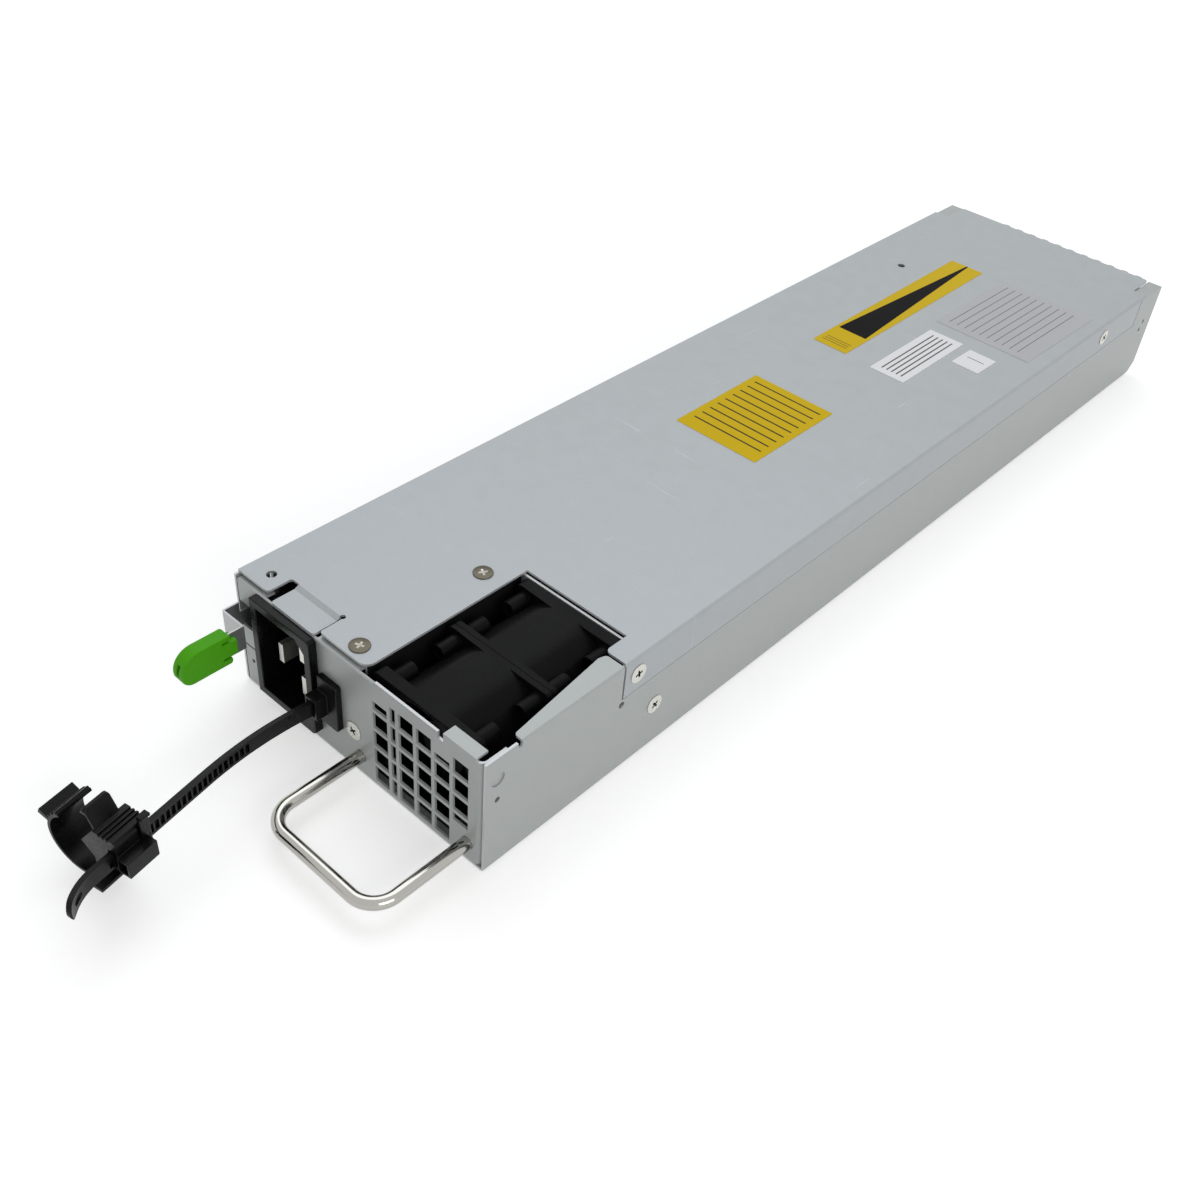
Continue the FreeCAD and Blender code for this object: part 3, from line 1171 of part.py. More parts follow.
def clamp_body():
    body = new_body("clamp_body")
    half = s.clamp_length / 2
    add(body, "XZ_Plane", -half, half, polygon(
        (-s.leg_left, -s.leg_low), (-s.leg_right, -s.leg_low), (-s.leg_right, -s.sleeve_low),
        (s.sleeve_right, -s.sleeve_low), (s.sleeve_right, s.sleeve_high - s.sleeve_bevel),
        (s.sleeve_right - s.sleeve_bevel, s.sleeve_high), (-s.sleeve_left, s.sleeve_high),
        (-s.wedge_reach, 0), (-s.leg_left, -s.sleeve_low)))
    shoulder = s.sleeve_high - s.finger_sheet / 2
    hook = s.finger_high - s.finger_hook * 2
    add(body, "XZ_Plane", -s.finger_front, s.finger_rear, polygon(
        (-s.sleeve_left + s.finger_sheet, shoulder), (-s.finger_top, s.finger_high),
        (-s.finger_top - s.finger_sheet, s.finger_high),
        (-s.finger_top - s.finger_sheet - s.finger_hook, hook), (-s.finger_top, hook),
        (-s.sleeve_left, shoulder)))
    soften(body, "Fillet", s.finger_corner_radius, ["x"], lambda p: near(p.z, s.finger_high))
    add(body, "XZ_Plane", -s.block_front, s.block_rear, box_outline(
        s.sleeve_right - s.sleeve_clearance, -s.block_low, s.block_right, s.block_high))
    cut(body, "XZ_Plane", -s.block_front, -s.block_front + s.block_pocket_depth, box_outline(
        s.sleeve_right, -s.block_low + s.block_wall,
        s.block_right - s.block_wall, s.block_high - s.block_wall))
    thick = s.strap_thick / 2 + s.sleeve_clearance
    wide = s.strap_width / 2 + s.sleeve_clearance
    cut(body, "XZ_Plane", -half, half, box_outline(-thick, -wide, thick, wide))
    grooves = []
    for index in range(int(SIZES["deck_groove_count"])):
        start = -s.sleeve_left + s.finger_sheet * 2 + s.deck_groove * 2 * index
        grooves.append(box_outline(start, s.sleeve_high - s.deck_groove, start + s.deck_groove,
                                   s.sleeve_high))
    cut(body, "XZ_Plane", -half, half, *grooves)
    add(body, "XZ_Plane", -s.tongue_front, s.tongue_rear, box_outline(
        -s.leg_right - s.tongue_sheet, -s.tongue_low, -s.tongue_right,
        -s.tongue_low + s.tongue_sheet))
    back = half - s.lever_setback
    cut(body, "YZ_Plane", s.sleeve_right - s.lever_recess, s.sleeve_right, box_outline(
        back - s.lever_width - s.moving_gap * 2, s.block_high, back, s.sleeve_high))
    place_clamp(body)
    return body


def clamp_jaw():
    """A strip bent to part of a circle, with teeth near its free end and a lip for the finger."""
    half = float(s.clamp_length) / 2
    outer = float(s.loop_radius)
    inner = outer - float(s.loop_wall)
    centre = FreeCAD.Vector(float(s.loop_x), -half, float(s.loop_z))

    def at(radius, angle):
        turn = math.radians(angle)
        return centre + FreeCAD.Vector(radius * math.cos(turn), 0, radius * math.sin(turn))

    def strip(low, high, start, end):
        """The part of a ring between two radii and two angles."""
        middle = (start + end) / 2
        wire = Part.Wire([
            Part.Arc(at(high, start), at(high, middle), at(high, end)).toShape(),
            Part.LineSegment(at(high, end), at(low, end)).toShape(),
            Part.Arc(at(low, end), at(low, middle), at(low, start)).toShape(),
            Part.LineSegment(at(low, start), at(high, start)).toShape()])
        return Part.Face(wire).extrude(FreeCAD.Vector(0, 2 * half, 0))

    start = float(s.loop_start_angle)
    shape = strip(inner, outer, start, float(s.loop_end_angle))
    pieces = []
    tooth_angle = math.degrees(float(s.loop_tooth) / outer) * 2
    for index in range(int(SIZES["loop_tooth_count"])):
        low = start + tooth_angle * (2 * index + 0.5)
        pieces.append(strip(outer - float(s.loop_tooth) / 2, outer + float(s.loop_tooth), low,
                            low + tooth_angle))
    lip_angle = float(s.loop_lip_angle)
    pieces.append(strip(outer - float(s.loop_tooth) / 2, outer + float(s.loop_lip), lip_angle,
                        lip_angle + tooth_angle * 1.6))
    jaw = doc.addObject("Part::Feature", "clamp_jaw")
    jaw.Label = "clamp_jaw"
    jaw.Shape = shape.fuse(pieces).removeSplitter()
    place_clamp(jaw)


def clamp_lever():
    """The pawl's lever beside the strap, with a thumb end that stands above the sleeve."""
    body = new_body("clamp_lever")
    back = s.clamp_length / 2 - s.lever_setback - s.moving_gap
    foot = s.sleeve_right - s.lever_recess + s.moving_gap
    add(body, "YZ_Plane", foot, foot + s.lever_sheet, box_outline(
        back - s.lever_width, s.block_high + s.moving_gap, back, s.lever_high))
    add(body, "YZ_Plane", foot + s.lever_sheet / 2, foot + s.lever_sheet * 2, box_outline(
        back - s.lever_width, s.lever_high - s.lever_sheet, back, s.lever_high))
    soften(body, "Fillet", s.lever_sheet / 3, ["y"],
           lambda p: near(p.x, foot + s.lever_sheet * 2) and near(p.z, s.lever_high))
    place_clamp(body)
    return body


# Fasteners: each is a turned solid, drawn once along its own axis and copied to its places.

def screw_shape():
    """A flat-headed screw with its head's top at the origin and its shank along -Z."""
    head = Part.makeCylinder(float(s.screw_head_radius), float(s.screw_head) / 2,
                             FreeCAD.Vector(0, 0, -float(s.screw_head) / 2))
    shank = Part.makeCylinder(float(s.screw_shank_radius), float(s.screw_length),
                              FreeCAD.Vector(0, 0, -float(s.screw_length)))
    return head.fuse(shank).removeSplitter()


def screws(name, places):
    """Copies of the screw. A place is a point and the direction that its head faces."""
    copies = []
    for point, facing in places:
        copy = screw_shape()
        vector = FreeCAD.Vector(*[float(value) for value in point])
        copy.Placement = FreeCAD.Placement(
            vector, FreeCAD.Rotation(FreeCAD.Vector(0, 0, 1), FreeCAD.Vector(*facing)))
        copies.append(copy)
    item = doc.addObject("Part::Feature", name)
    item.Label = name
    item.Shape = Part.makeCompound(copies)


def fasteners():
    proud = s.screw_head / 2
    screws("cover_top_screws", [
        ((top_screw_x, front + setback, s.case_height + proud), (0, 0, 1))
        for setback in (s.top_screw_front, s.top_screw_rear)])
    screws("cover_side_screws", [
        (((side + proud) * sign, front + setback, s.side_screw_height), (sign, 0, 0))
        for sign in (-1, 1) for setback in (s.side_screw_front, s.side_screw_rear)])
    screws("chassis_side_screws", [
        (((side + proud) * sign, front + s.chassis_screw_setback, s.chassis_screw_height),
         (sign, 0, 0)) for sign in (-1, 1)])
    screws("front_panel_screw", [
        ((panel_screw_x, front - proud, s.panel_screw_height), (0, -1, 0))])
    back = front + s.fan_setback + s.fan_depth * 2 + s.ring_plate_gap + s.sheet
    screws("fan_screws", [
        ((fan_x + s.fan_corner_hole * i, back + proud, fan_z + s.fan_corner_hole * k),
         (0, 1, 0)) for i in (-1, 1) for k in (-1, 1)])
    screws("board_screws", [
        ((x, y, board_top() + proud), (0, 0, 1)) for x, y in standoff_places()])


# Board and what it carries. The case hides it all.

def board_low():
    return floor_top + s.board_gap


def board_top():
    return board_low() + s.board_sheet


def standoff_places():
    reach = wall_inside - s.sheet - s.board_side_gap - s.standoff_inset
    start = front + s.board_front + s.standoff_inset
    end = rear - s.board_rear_margin - s.standoff_inset
    middle = (start + end) / 2
    return [(reach * sign, y) for sign in (-1, 1) for y in (start, middle, end)]


def main_board():
    body = new_body("main_board")
    edge = wall_inside - s.sheet - s.board_side_gap
    inlet_end = front + s.inlet_body_depth + s.moving_gap * 5
    start = front + s.board_front
    add(body, "XY_Plane", board_low(), board_top(), polygon(
        (-edge + s.leaf_return / 2, inlet_end + s.inlet_board_sheet),
        (-s.divider_top_flange, inlet_end + s.inlet_board_sheet), (-s.divider_top_flange, start),
        (edge, start), (edge, rear - s.board_rear_margin), (-edge, rear - s.board_rear_margin),
        (-edge, start + s.standoff_inset), (-edge + s.leaf_return / 2, start + s.standoff_inset)))
    cut(body, "XY_Plane", board_low(), board_top(),
        *[circle(x, y, s.screw_hole_radius) for x, y in standoff_places()])
    return body


def insulation_sheet():
    edge = wall_inside - s.sheet - s.board_side_gap
    plate = cuboid(-edge, front + s.board_front, floor_top, edge,
                   rear - s.board_rear_margin - s.rear_flange, floor_top + s.insulator_sheet)
    holes = doc.addObject("Part::MultiFuse", "sheet_holes")
    holes.Shapes = [cylinder(s.standoff_radius + s.clearance, s.insulator_sheet, x, y, floor_top)
                    for x, y in standoff_places()]
    carved("insulation_sheet", plate, holes)


def standoffs():
    posts = []
    for x, y in standoff_places():
        post = cylinder(s.standoff_radius, s.board_gap, x, y, floor_top)
        bore = cylinder(s.screw_shank_radius, s.board_gap, x, y, floor_top)
        posts.append(carved("post", post, bore))
    group("standoffs", posts)


def wound_ring(name, x, y):
    """A toroid choke lying on the board."""
    core = doc.addObject("Part::Torus", name)
    core.Label = name
    core.setExpression("Radius1", (s.choke_radius - s.choke_core).text)
    core.setExpression("Radius2", s.choke_core.text)
    place(core, x, y, board_top() + s.choke_core)


def bulk_capacitors():
    cans = []
    for index in range(int(SIZES["bulk_count"])):
        x = s.bulk_radius * 2.1 * (index - (SIZES["bulk_count"] - 1) / 2) - s.bulk_radius
        can = cylinder(s.bulk_radius, s.bulk_length, x, front + s.bulk_y,
                       board_top() + s.bulk_radius, "y")
        cans.append(can)
    group("bulk_capacitors", cans)


def heatsink(name, x, start, length, fins_to):
    """An extrusion along Y: a foot, an upright web and a row of fins."""
    body = new_body(name)
    top = board_top() + s.sink_height
    add(body, "XZ_Plane", front + start, front + start + length,
        box_outline(x, board_top(), x + s.sink_base, top))
    fins = []
    for index in range(int(SIZES["sink_fin_count"])):
        low = top - s.sink_fin - s.sink_height * 0.7 * index / (SIZES["sink_fin_count"] - 1)
        if fins_to > 0:
            fins.append(box_outline(x + s.sink_base, low, x + s.sink_base + s.sink_fin_length,
                                    low + s.sink_fin))
        else:
            fins.append(box_outline(x - s.sink_fin_length, low, x, low + s.sink_fin))
    add(body, "XZ_Plane", front + start, front + start + length, *fins)
    return body


def transformer():
    """A core of two E halves round a bobbin with its winding."""
    start = front + s.transformer_y
    low = board_top()
    high = s.component_top
    wide = s.transformer_wide / 2
    block = cuboid(-wide, start, low, wide, start + s.transformer_core, high - s.sheet)
    window = cuboid(-wide + s.transformer_window, start + s.transformer_window / 2, low,
                    wide - s.transformer_window,
                    start + s.transformer_core - s.transformer_window / 2, high)
    carved("main_transformer", block, window)
    gap = s.winding_margin
    cuboid(-wide + s.transformer_window + gap, start + s.transformer_window / 2 + gap, low,
           wide - s.transformer_window - gap,
           start + s.transformer_core - s.transformer_window / 2 - gap,
           high - s.sheet).Label = "transformer_winding"


def board_components():
    wound_ring("common_mode_choke", s.choke_side - side, front + s.emi_y)
    wound_ring("pfc_choke", s.choke_side - side, front + s.pfc_y + s.choke_radius)
    group("x_capacitors", [
        cuboid(s.x_cap_x - s.x_cap_width * 2 * index, front + s.emi_y, board_top(),
               s.x_cap_x - s.x_cap_width * 2 * index + s.x_cap_width,
               front + s.emi_y + s.x_cap_length, board_top() + s.x_cap_height)
        for index in range(2)])
    bulk_capacitors()
    heatsink("primary_heatsink", side - s.primary_sink_side, s.primary_sink_y, s.primary_sink_length, 1)
    heatsink("secondary_heatsink", s.secondary_sink_side - side, s.secondary_sink_y,
             s.secondary_sink_length, -1)
    cuboid(side - s.primary_sink_side - s.bridge_thick, front + s.primary_sink_y + s.sink_base,
           board_top() + s.bridge_thick, side - s.primary_sink_side,
           front + s.primary_sink_y + s.sink_base + s.bridge_width,
           board_top() + s.bridge_thick + s.bridge_height).Label = "bridge_rectifier"
    transformer()
    cuboid(-s.resonant_size / 2, front + s.resonant_y, board_top(), s.resonant_size / 2,
           front + s.resonant_y + s.resonant_size,
           board_top() + s.resonant_size).Label = "resonant_inductor"
    group("output_inductors", [
        cuboid(s.inductor_pitch * index - s.inductor_size / 2, front + s.inductor_y, board_top(),
               s.inductor_pitch * index + s.inductor_size / 2,
               front + s.inductor_y + s.inductor_size, board_top() + s.inductor_size)
        for index in (0, 1)])
    group("output_capacitors", [
        cylinder(s.output_cap_radius, s.output_cap_height,
                 s.output_cap_pitch * (index - (SIZES["output_cap_count"] - 1) / 2),
                 front + s.output_cap_y, board_top())
        for index in range(int(SIZES["output_cap_count"]))])
    upright = side - s.control_board_side
    cuboid(upright, front + s.control_board_y, board_top(),
           upright + s.board_sheet, front + s.control_board_y + s.control_board_length,
           board_top() + s.control_board_height).Label = "control_board"


def output_connector():
    """The blind-mating connector in the rear panel's window, with a sprung contact in each slot."""
    body = new_body("output_connector")
    end = rear - s.rear_panel_setback + s.contact_recess
    start = end - s.connector_depth
    half = s.connector_width / 2
    add(body, "XZ_Plane", start, end,
        box_outline(-half, board_top(), half, board_top() + s.connector_height))
    middle = board_top() + s.connector_height / 2
    slots = []
    contacts = []
    for index in range(int(SIZES["contact_count"])):
        x = s.contact_pitch * (index - (SIZES["contact_count"] - 1) / 2)
        slots.append(box_outline(x - s.contact_slot / 2, middle - s.contact_slot_height / 2,
                                 x + s.contact_slot / 2, middle + s.contact_slot_height / 2))
        for edge in (-1, 1):
            outer = x + s.contact_slot / 2 * edge
            inner = outer - s.contact_sheet * edge
            low, high = sorted((outer, inner), key=float)
            contacts.append(cuboid(low, start + s.contact_recess, middle - s.contact_slot_height / 3,
                                   high, end - s.contact_recess,
                                   middle + s.contact_slot_height / 3))
    cut(body, "XZ_Plane", start + s.contact_recess, end, *slots)
    group("power_contacts", contacts)
    return body


def build():
    chassis_tray()
    top_cover()
    front_panel()
    rear_panel()
    fan_bracket()
    twin_fan()
    inlet_housing()
    inlet_blades()
    inlet_board()
    pull_handle()
    handle_washers()
    latch_spring()
    latch_grip()
    latch_rivets()
    strap_anchor()
    retaining_strap()
    clamp_body()
    clamp_jaw()
    clamp_lever()
    fasteners()
    main_board()
    insulation_sheet()
    standoffs()
    board_components()
    output_connector()


NODES = (
    "chassis_tray", "top_cover", "front_panel", "rear_panel", "fan_bracket",
    "fan_frame_front", "fan_frame_rear", "front_impeller", "rear_impeller",
    "front_rotor_magnet", "rear_rotor_magnet", "front_stator", "rear_stator",
    "front_bearing", "rear_bearing", "front_shaft", "rear_shaft", "fan_screws",
    "inlet_housing", "inlet_blades", "inlet_board", "pull_handle", "handle_washers",
    "latch_spring", "latch_grip", "latch_rivets",
    "strap_anchor", "retaining_strap", "clamp_body", "clamp_jaw", "clamp_lever",
    "cover_top_screws", "cover_side_screws", "chassis_side_screws", "front_panel_screw",
    "board_screws", "standoffs", "main_board", "insulation_sheet",
    "common_mode_choke", "pfc_choke", "x_capacitors", "bulk_capacitors", "primary_heatsink",
    "secondary_heatsink", "bridge_rectifier", "main_transformer", "transformer_winding",
    "resonant_inductor", "output_inductors", "output_capacitors", "control_board",
    "output_connector", "power_contacts",
)

build()
doc.recompute()

for item in doc.Objects:
    if "Invalid" in item.State or "Error" in item.State:
        raise ValueError("%s did not build: %s" % (item.Label, item.State))

os.makedirs("parts", exist_ok=True)
for node in NODES:
    shape = doc.getObjectsByLabel(node)[0].Shape
    if shape.isNull() or not shape.isValid():
        raise ValueError("%s has no valid shape" % node)
    shape.exportStep(os.path.join("parts", node + ".step"))
    print(node, len(shape.Solids), round(shape.Volume, 1))
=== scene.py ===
import json
import math

import bpy
from mathutils import Matrix, Vector


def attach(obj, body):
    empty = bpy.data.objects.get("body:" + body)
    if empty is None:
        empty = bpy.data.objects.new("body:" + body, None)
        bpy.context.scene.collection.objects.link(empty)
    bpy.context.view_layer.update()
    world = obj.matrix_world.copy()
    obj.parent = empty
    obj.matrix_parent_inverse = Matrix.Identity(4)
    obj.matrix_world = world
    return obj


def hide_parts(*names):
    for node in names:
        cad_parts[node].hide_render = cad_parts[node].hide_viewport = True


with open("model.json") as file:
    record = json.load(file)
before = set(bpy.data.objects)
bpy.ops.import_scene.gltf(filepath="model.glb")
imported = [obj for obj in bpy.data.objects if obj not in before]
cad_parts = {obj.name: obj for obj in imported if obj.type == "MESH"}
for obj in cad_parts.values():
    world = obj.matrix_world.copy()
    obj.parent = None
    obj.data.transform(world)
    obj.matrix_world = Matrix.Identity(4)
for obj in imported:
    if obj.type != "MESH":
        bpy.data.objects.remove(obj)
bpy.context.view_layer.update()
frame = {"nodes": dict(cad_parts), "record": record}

scene = bpy.context.scene
mm = 0.001


# Studio. A pale floor under a plain sky, one large soft lamp over the case's left rear and
# another at its right. The camera stands where the photograph was taken from.

def face_camera(position, azimuth, elevation, roll):
    """The turn of a camera that looks back along a heading, then rolls about its own view."""
    a, e, r = (math.radians(v) for v in (azimuth, elevation, roll))
    back = Vector((math.sin(a) * math.cos(e), -math.cos(a) * math.cos(e), math.sin(e)))
    right = Vector((math.cos(a), math.sin(a), 0))
    up = back.cross(right)
    turned_right = right * math.cos(r) + up * math.sin(r)
    turned_up = up * math.cos(r) - right * math.sin(r)
    matrix = Matrix((turned_right, turned_up, back)).transposed().to_4x4()
    matrix.translation = position
    return matrix


photo_pixels, focal_pixels, film_width = 1200, 1328.9, 36
camera_place = Vector((210.98, -359.28, 289.63)) * mm
camera_azimuth, camera_elevation, camera_roll = 38.786, 40.305, 5.595
camera = bpy.data.objects.new("photo_camera", bpy.data.cameras.new("photo_camera"))
camera.data.sensor_width = film_width
camera.data.lens = focal_pixels / photo_pixels * film_width
camera.data.clip_start = 0.01
camera.matrix_world = face_camera(camera_place, camera_azimuth, camera_elevation, camera_roll)
scene.collection.objects.link(camera)
scene.camera = camera
scene.view_settings.view_transform = "Standard"


def shining(name, energy, color, size, position):
    """A rectangular lamp that faces the middle of the case."""
    lamp = bpy.data.objects.new(name, bpy.data.lights.new(name, "AREA"))
    lamp.data.energy = energy
    lamp.data.color = color
    lamp.data.shape = "RECTANGLE"
    lamp.data.size, lamp.data.size_y = size
    lamp.location = position
    lamp.rotation_euler = (-Vector(position)).to_track_quat("-Z", "Y").to_euler()
    scene.collection.objects.link(lamp)


shining("lamp_over_rear", energy=8.2, color=(0.93, 0.97, 1.0), size=(1.4, 1.4),
        position=(-0.6, 0.6, 1.5))
shining("lamp_at_right", energy=6.4, color=(1.0, 0.99, 0.965), size=(1.0, 0.8),
        position=(1.4, -0.5, 0.75))


def reckon(tree, operation, *values):
    """A Math node. Each value is a number or the socket that it comes from."""
    node = tree.nodes.new("ShaderNodeMath")
    node.operation = operation
    for socket, value in zip(node.inputs, values):
        if isinstance(value, (int, float)):
            socket.default_value = value
        else:
            tree.links.new(value, socket)
    return node.outputs[0]


def seen_directly(tree):
    """One for a ray from the camera, a mirror or glass, and nothing for one that lights."""
    path = tree.nodes.new("ShaderNodeLightPath")
    seen = path.outputs["Is Camera Ray"]
    for kind in ("Is Transmission Ray", "Is Glossy Ray"):
        seen = reckon(tree, "MAXIMUM", seen, path.outputs[kind])
    return seen


sky_light, sky_seen, floor_glow, floor_drop = 0.42, 1.0, 0.42, 0.4 * mm
world = bpy.data.worlds.new("studio_sky")
world.use_nodes = True
scene.world = world
sky = world.node_tree
level = sky.nodes.new("ShaderNodeMapRange")
level.inputs["To Min"].default_value = sky_light
level.inputs["To Max"].default_value = sky_seen
sky.links.new(seen_directly(sky), level.inputs["Value"])
sky.nodes["Background"].inputs["Color"].default_value = (1, 1, 1, 1)
sky.links.new(level.outputs["Result"], sky.nodes["Background"].inputs["Strength"])


def plain_material(name):
    """A new material with its Principled shader, and the tree to add to."""
    material = bpy.data.materials.new(name)
    material.use_nodes = True
    return material, material.node_tree, material.node_tree.nodes["Principled BSDF"]


bpy.ops.object.select_all(action="DESELECT")
bpy.ops.mesh.primitive_plane_add(size=9, location=(0, 0, -floor_drop))
bpy.ops.object.transform_apply(location=True)
floor = bpy.context.object
floor.name = "studio_floor"
floor_paint, tree, shader = plain_material("floor_paint")
shader.inputs["Base Color"].default_value = (0.93, 0.93, 0.93, 1)
shader.inputs["Roughness"].default_value = 0.9
shader.inputs["Specular IOR Level"].default_value = 0.1
shader.inputs["Emission Color"].default_value = (1, 1, 1, 1)
tree.links.new(reckon(tree, "MULTIPLY", seen_directly(tree), floor_glow),
               shader.inputs["Emission Strength"])
floor.data.materials.append(floor_paint)


# Sheet metal: the tray, the end panels and the fan's bracket. Bare zinc-coated steel, 0.8 mm,
# punched and folded, so it has a fine matte grain, faint clouds, hair scratches and brighter
# edges, partly bare steel where it was sheared and partly a painted highlight along the
# rounded edges. Painted shade in near black covers the bracket's face beside the fan.

def make_group(name, inputs, outputs):
    """A shader node group with its sockets: (name, kind, value) in and (name, kind) out."""
    group = bpy.data.node_groups.new(name, "ShaderNodeTree")
    for label, kind, value in inputs:
        socket = group.interface.new_socket(label, in_out="INPUT", socket_type="NodeSocket" + kind)
        socket.default_value = value
    for label, kind in outputs:
        group.interface.new_socket(label, in_out="OUTPUT", socket_type="NodeSocket" + kind)
    start = group.nodes.new("NodeGroupInput")
    end = group.nodes.new("NodeGroupOutput")
    return group, start, end


def noise(tree, place, scale, detail):
    """A noise texture over a place, with its scale a number or a socket."""
    node = tree.nodes.new("ShaderNodeTexNoise")
    node.inputs["Detail"].default_value = detail
    tree.links.new(place, node.inputs["Vector"])
    if isinstance(scale, (int, float)):
        node.inputs["Scale"].default_value = scale
    else:
        tree.links.new(scale, node.inputs["Scale"])
    return node.outputs["Fac"]


def stretched(tree, place, stretch):
    """A place multiplied along its axes by three numbers or by a socket."""
    node = tree.nodes.new("ShaderNodeVectorMath")
    node.operation = "MULTIPLY"
    tree.links.new(place, node.inputs[0])
    if isinstance(stretch, tuple):
        node.inputs[1].default_value = stretch
    else:
        tree.links.new(stretch, node.inputs[1])
    return node.outputs[0]


def brighter(tree, color, amount):
    """A colour multiplied by one plus an amount."""
    node = tree.nodes.new("ShaderNodeVectorMath")
    node.operation = "SCALE"
    tree.links.new(color, node.inputs[0])
    tree.links.new(reckon(tree, "ADD", amount, 1.0), node.inputs["Scale"])
    return node.outputs[0]


def grain_group():
    """Clouds and fine grain over any surface, as a tinted colour, a roughness and a height."""
    group, start, end = make_group(
        "surface_grain",
        [("Color", "Color", (0.5, 0.5, 0.5, 1)), ("Roughness", "Float", 0.5),
         ("Grain Size", "Float", 900.0), ("Grain Depth", "Float", 0.06),
         ("Cloud Size", "Float", 28.0), ("Cloud Depth", "Float", 0.06),
         ("Stretch", "Vector", (1.0, 1.0, 1.0))],
        [("Color", "Color"), ("Roughness", "Float"), ("Height", "Float")])
    place = group.nodes.new("ShaderNodeTexCoord").outputs["Object"]
    fine = noise(group, stretched(group, place, start.outputs["Stretch"]),
                 start.outputs["Grain Size"], 3)
    cloud = noise(group, place, start.outputs["Cloud Size"], 4)
    grain = reckon(group, "MULTIPLY", reckon(group, "SUBTRACT", fine, 0.5),
                   start.outputs["Grain Depth"])
    clouds = reckon(group, "MULTIPLY", reckon(group, "SUBTRACT", cloud, 0.5),
                    start.outputs["Cloud Depth"])
    total = reckon(group, "ADD", grain, clouds)
    group.links.new(brighter(group, start.outputs["Color"], total), end.inputs["Color"])
    group.links.new(reckon(group, "MULTIPLY_ADD", total, 0.8, start.outputs["Roughness"]),
                    end.inputs["Roughness"])
    group.links.new(fine, end.inputs["Height"])
    return group


def scratch_group():
    """Hair scratches in two directions, as a colour that they brighten or darken."""
    group, start, end = make_group(
        "hair_scratches", [("Color", "Color", (0.5, 0.5, 0.5, 1)), ("Depth", "Float", 0.1)],
        [("Color", "Color")])
    place = group.nodes.new("ShaderNodeTexCoord").outputs["Object"]
    marks = []
    for stretch in ((14.0, 900.0, 14.0), (620.0, 22.0, 40.0)):
        hairs = noise(group, stretched(group, place, stretch), 1.0, 2)
        marks.append(reckon(group, "MULTIPLY", reckon(group, "GREATER_THAN", hairs, 0.72),
                            start.outputs["Depth"]))
    patch = reckon(group, "GREATER_THAN", noise(group, place, 34.0, 2), 0.54)
    amount = reckon(group, "MULTIPLY", reckon(group, "ADD", *marks), patch)
    group.links.new(brighter(group, start.outputs["Color"], amount), end.inputs["Color"])
    return group


surface_grain = grain_group()
hair_scratches = scratch_group()


def grain_node(tree, color, roughness, **values):
    """The grain group placed in a material, with its own values."""
    grain = tree.nodes.new("ShaderNodeGroup")
    grain.node_tree = surface_grain
    grain.inputs["Color"].default_value = (*color, 1)
    grain.inputs["Roughness"].default_value = roughness
    for label, value in values.items():
        grain.inputs[label.replace("_", " ").title()].default_value = value
    return grain


def finish_surface(tree, shader, color, grain, bump, specular):
    """Joins a colour, and the roughness and relief of a grain node, to the shader."""
    tree.links.new(color, shader.inputs["Base Color"])
    tree.links.new(grain.outputs["Roughness"], shader.inputs["Roughness"])
    shader.inputs["Specular IOR Level"].default_value = specular
    relief = tree.nodes.new("ShaderNodeBump")
    relief.inputs["Distance"].default_value = bump
    tree.links.new(grain.outputs["Height"], relief.inputs["Height"])
    tree.links.new(relief.outputs["Normal"], shader.inputs["Normal"])


def grained(name, color, roughness, metallic=0.0, bump=0.00002, specular=0.5, scratches=0.0,
            **values):
    """A material whose colour, roughness and bump come from the grain group."""
    material, tree, shader = plain_material(name)
    grain = grain_node(tree, color, roughness, **values)
    finish = grain.outputs["Color"]
    if scratches:
        hairs = tree.nodes.new("ShaderNodeGroup")
        hairs.node_tree = hair_scratches
        hairs.inputs["Depth"].default_value = scratches
        tree.links.new(finish, hairs.inputs["Color"])
        finish = hairs.outputs["Color"]
    shader.inputs["Metallic"].default_value = metallic
    finish_surface(tree, shader, finish, grain, bump, specular)
    return material


def dress(material, *names):
    """Gives carried-over nodes their material."""
    for name in names:
        slots = frame["nodes"][name].data.materials
        if not len(slots):
            slots.append(material)
        for index in range(len(slots)):
            slots[index] = material


def only(piece):
    """Selects one object alone and makes it active."""
    bpy.ops.object.select_all(action="DESELECT")
    bpy.context.view_layer.objects.active = piece
    piece.select_set(True)


sharp_from = 38


def round_edges(piece, width, clamped, smooth_angle):
    """Bevels the sharp edges, with slot 1 as the finish of the rounding, and evens the shading."""
    rim = piece.modifiers.new("rim", "BEVEL")
    rim.width = width
    rim.segments = 2
    rim.limit_method = "ANGLE"
    rim.angle_limit = math.radians(sharp_from)
    rim.use_clamp_overlap = clamped
    rim.material = 1
    only(piece)
    bpy.ops.object.modifier_apply(modifier="rim")
    bpy.ops.object.shade_smooth_by_angle(angle=math.radians(smooth_angle))
    even = piece.modifiers.new("even", "WEIGHTED_NORMAL")
    even.keep_sharp = True
    bpy.ops.object.modifier_apply(modifier="even")


body_of = {node: body for body, nodes in frame["record"]["behaviour"]["bodies"].items()
           for node in nodes}


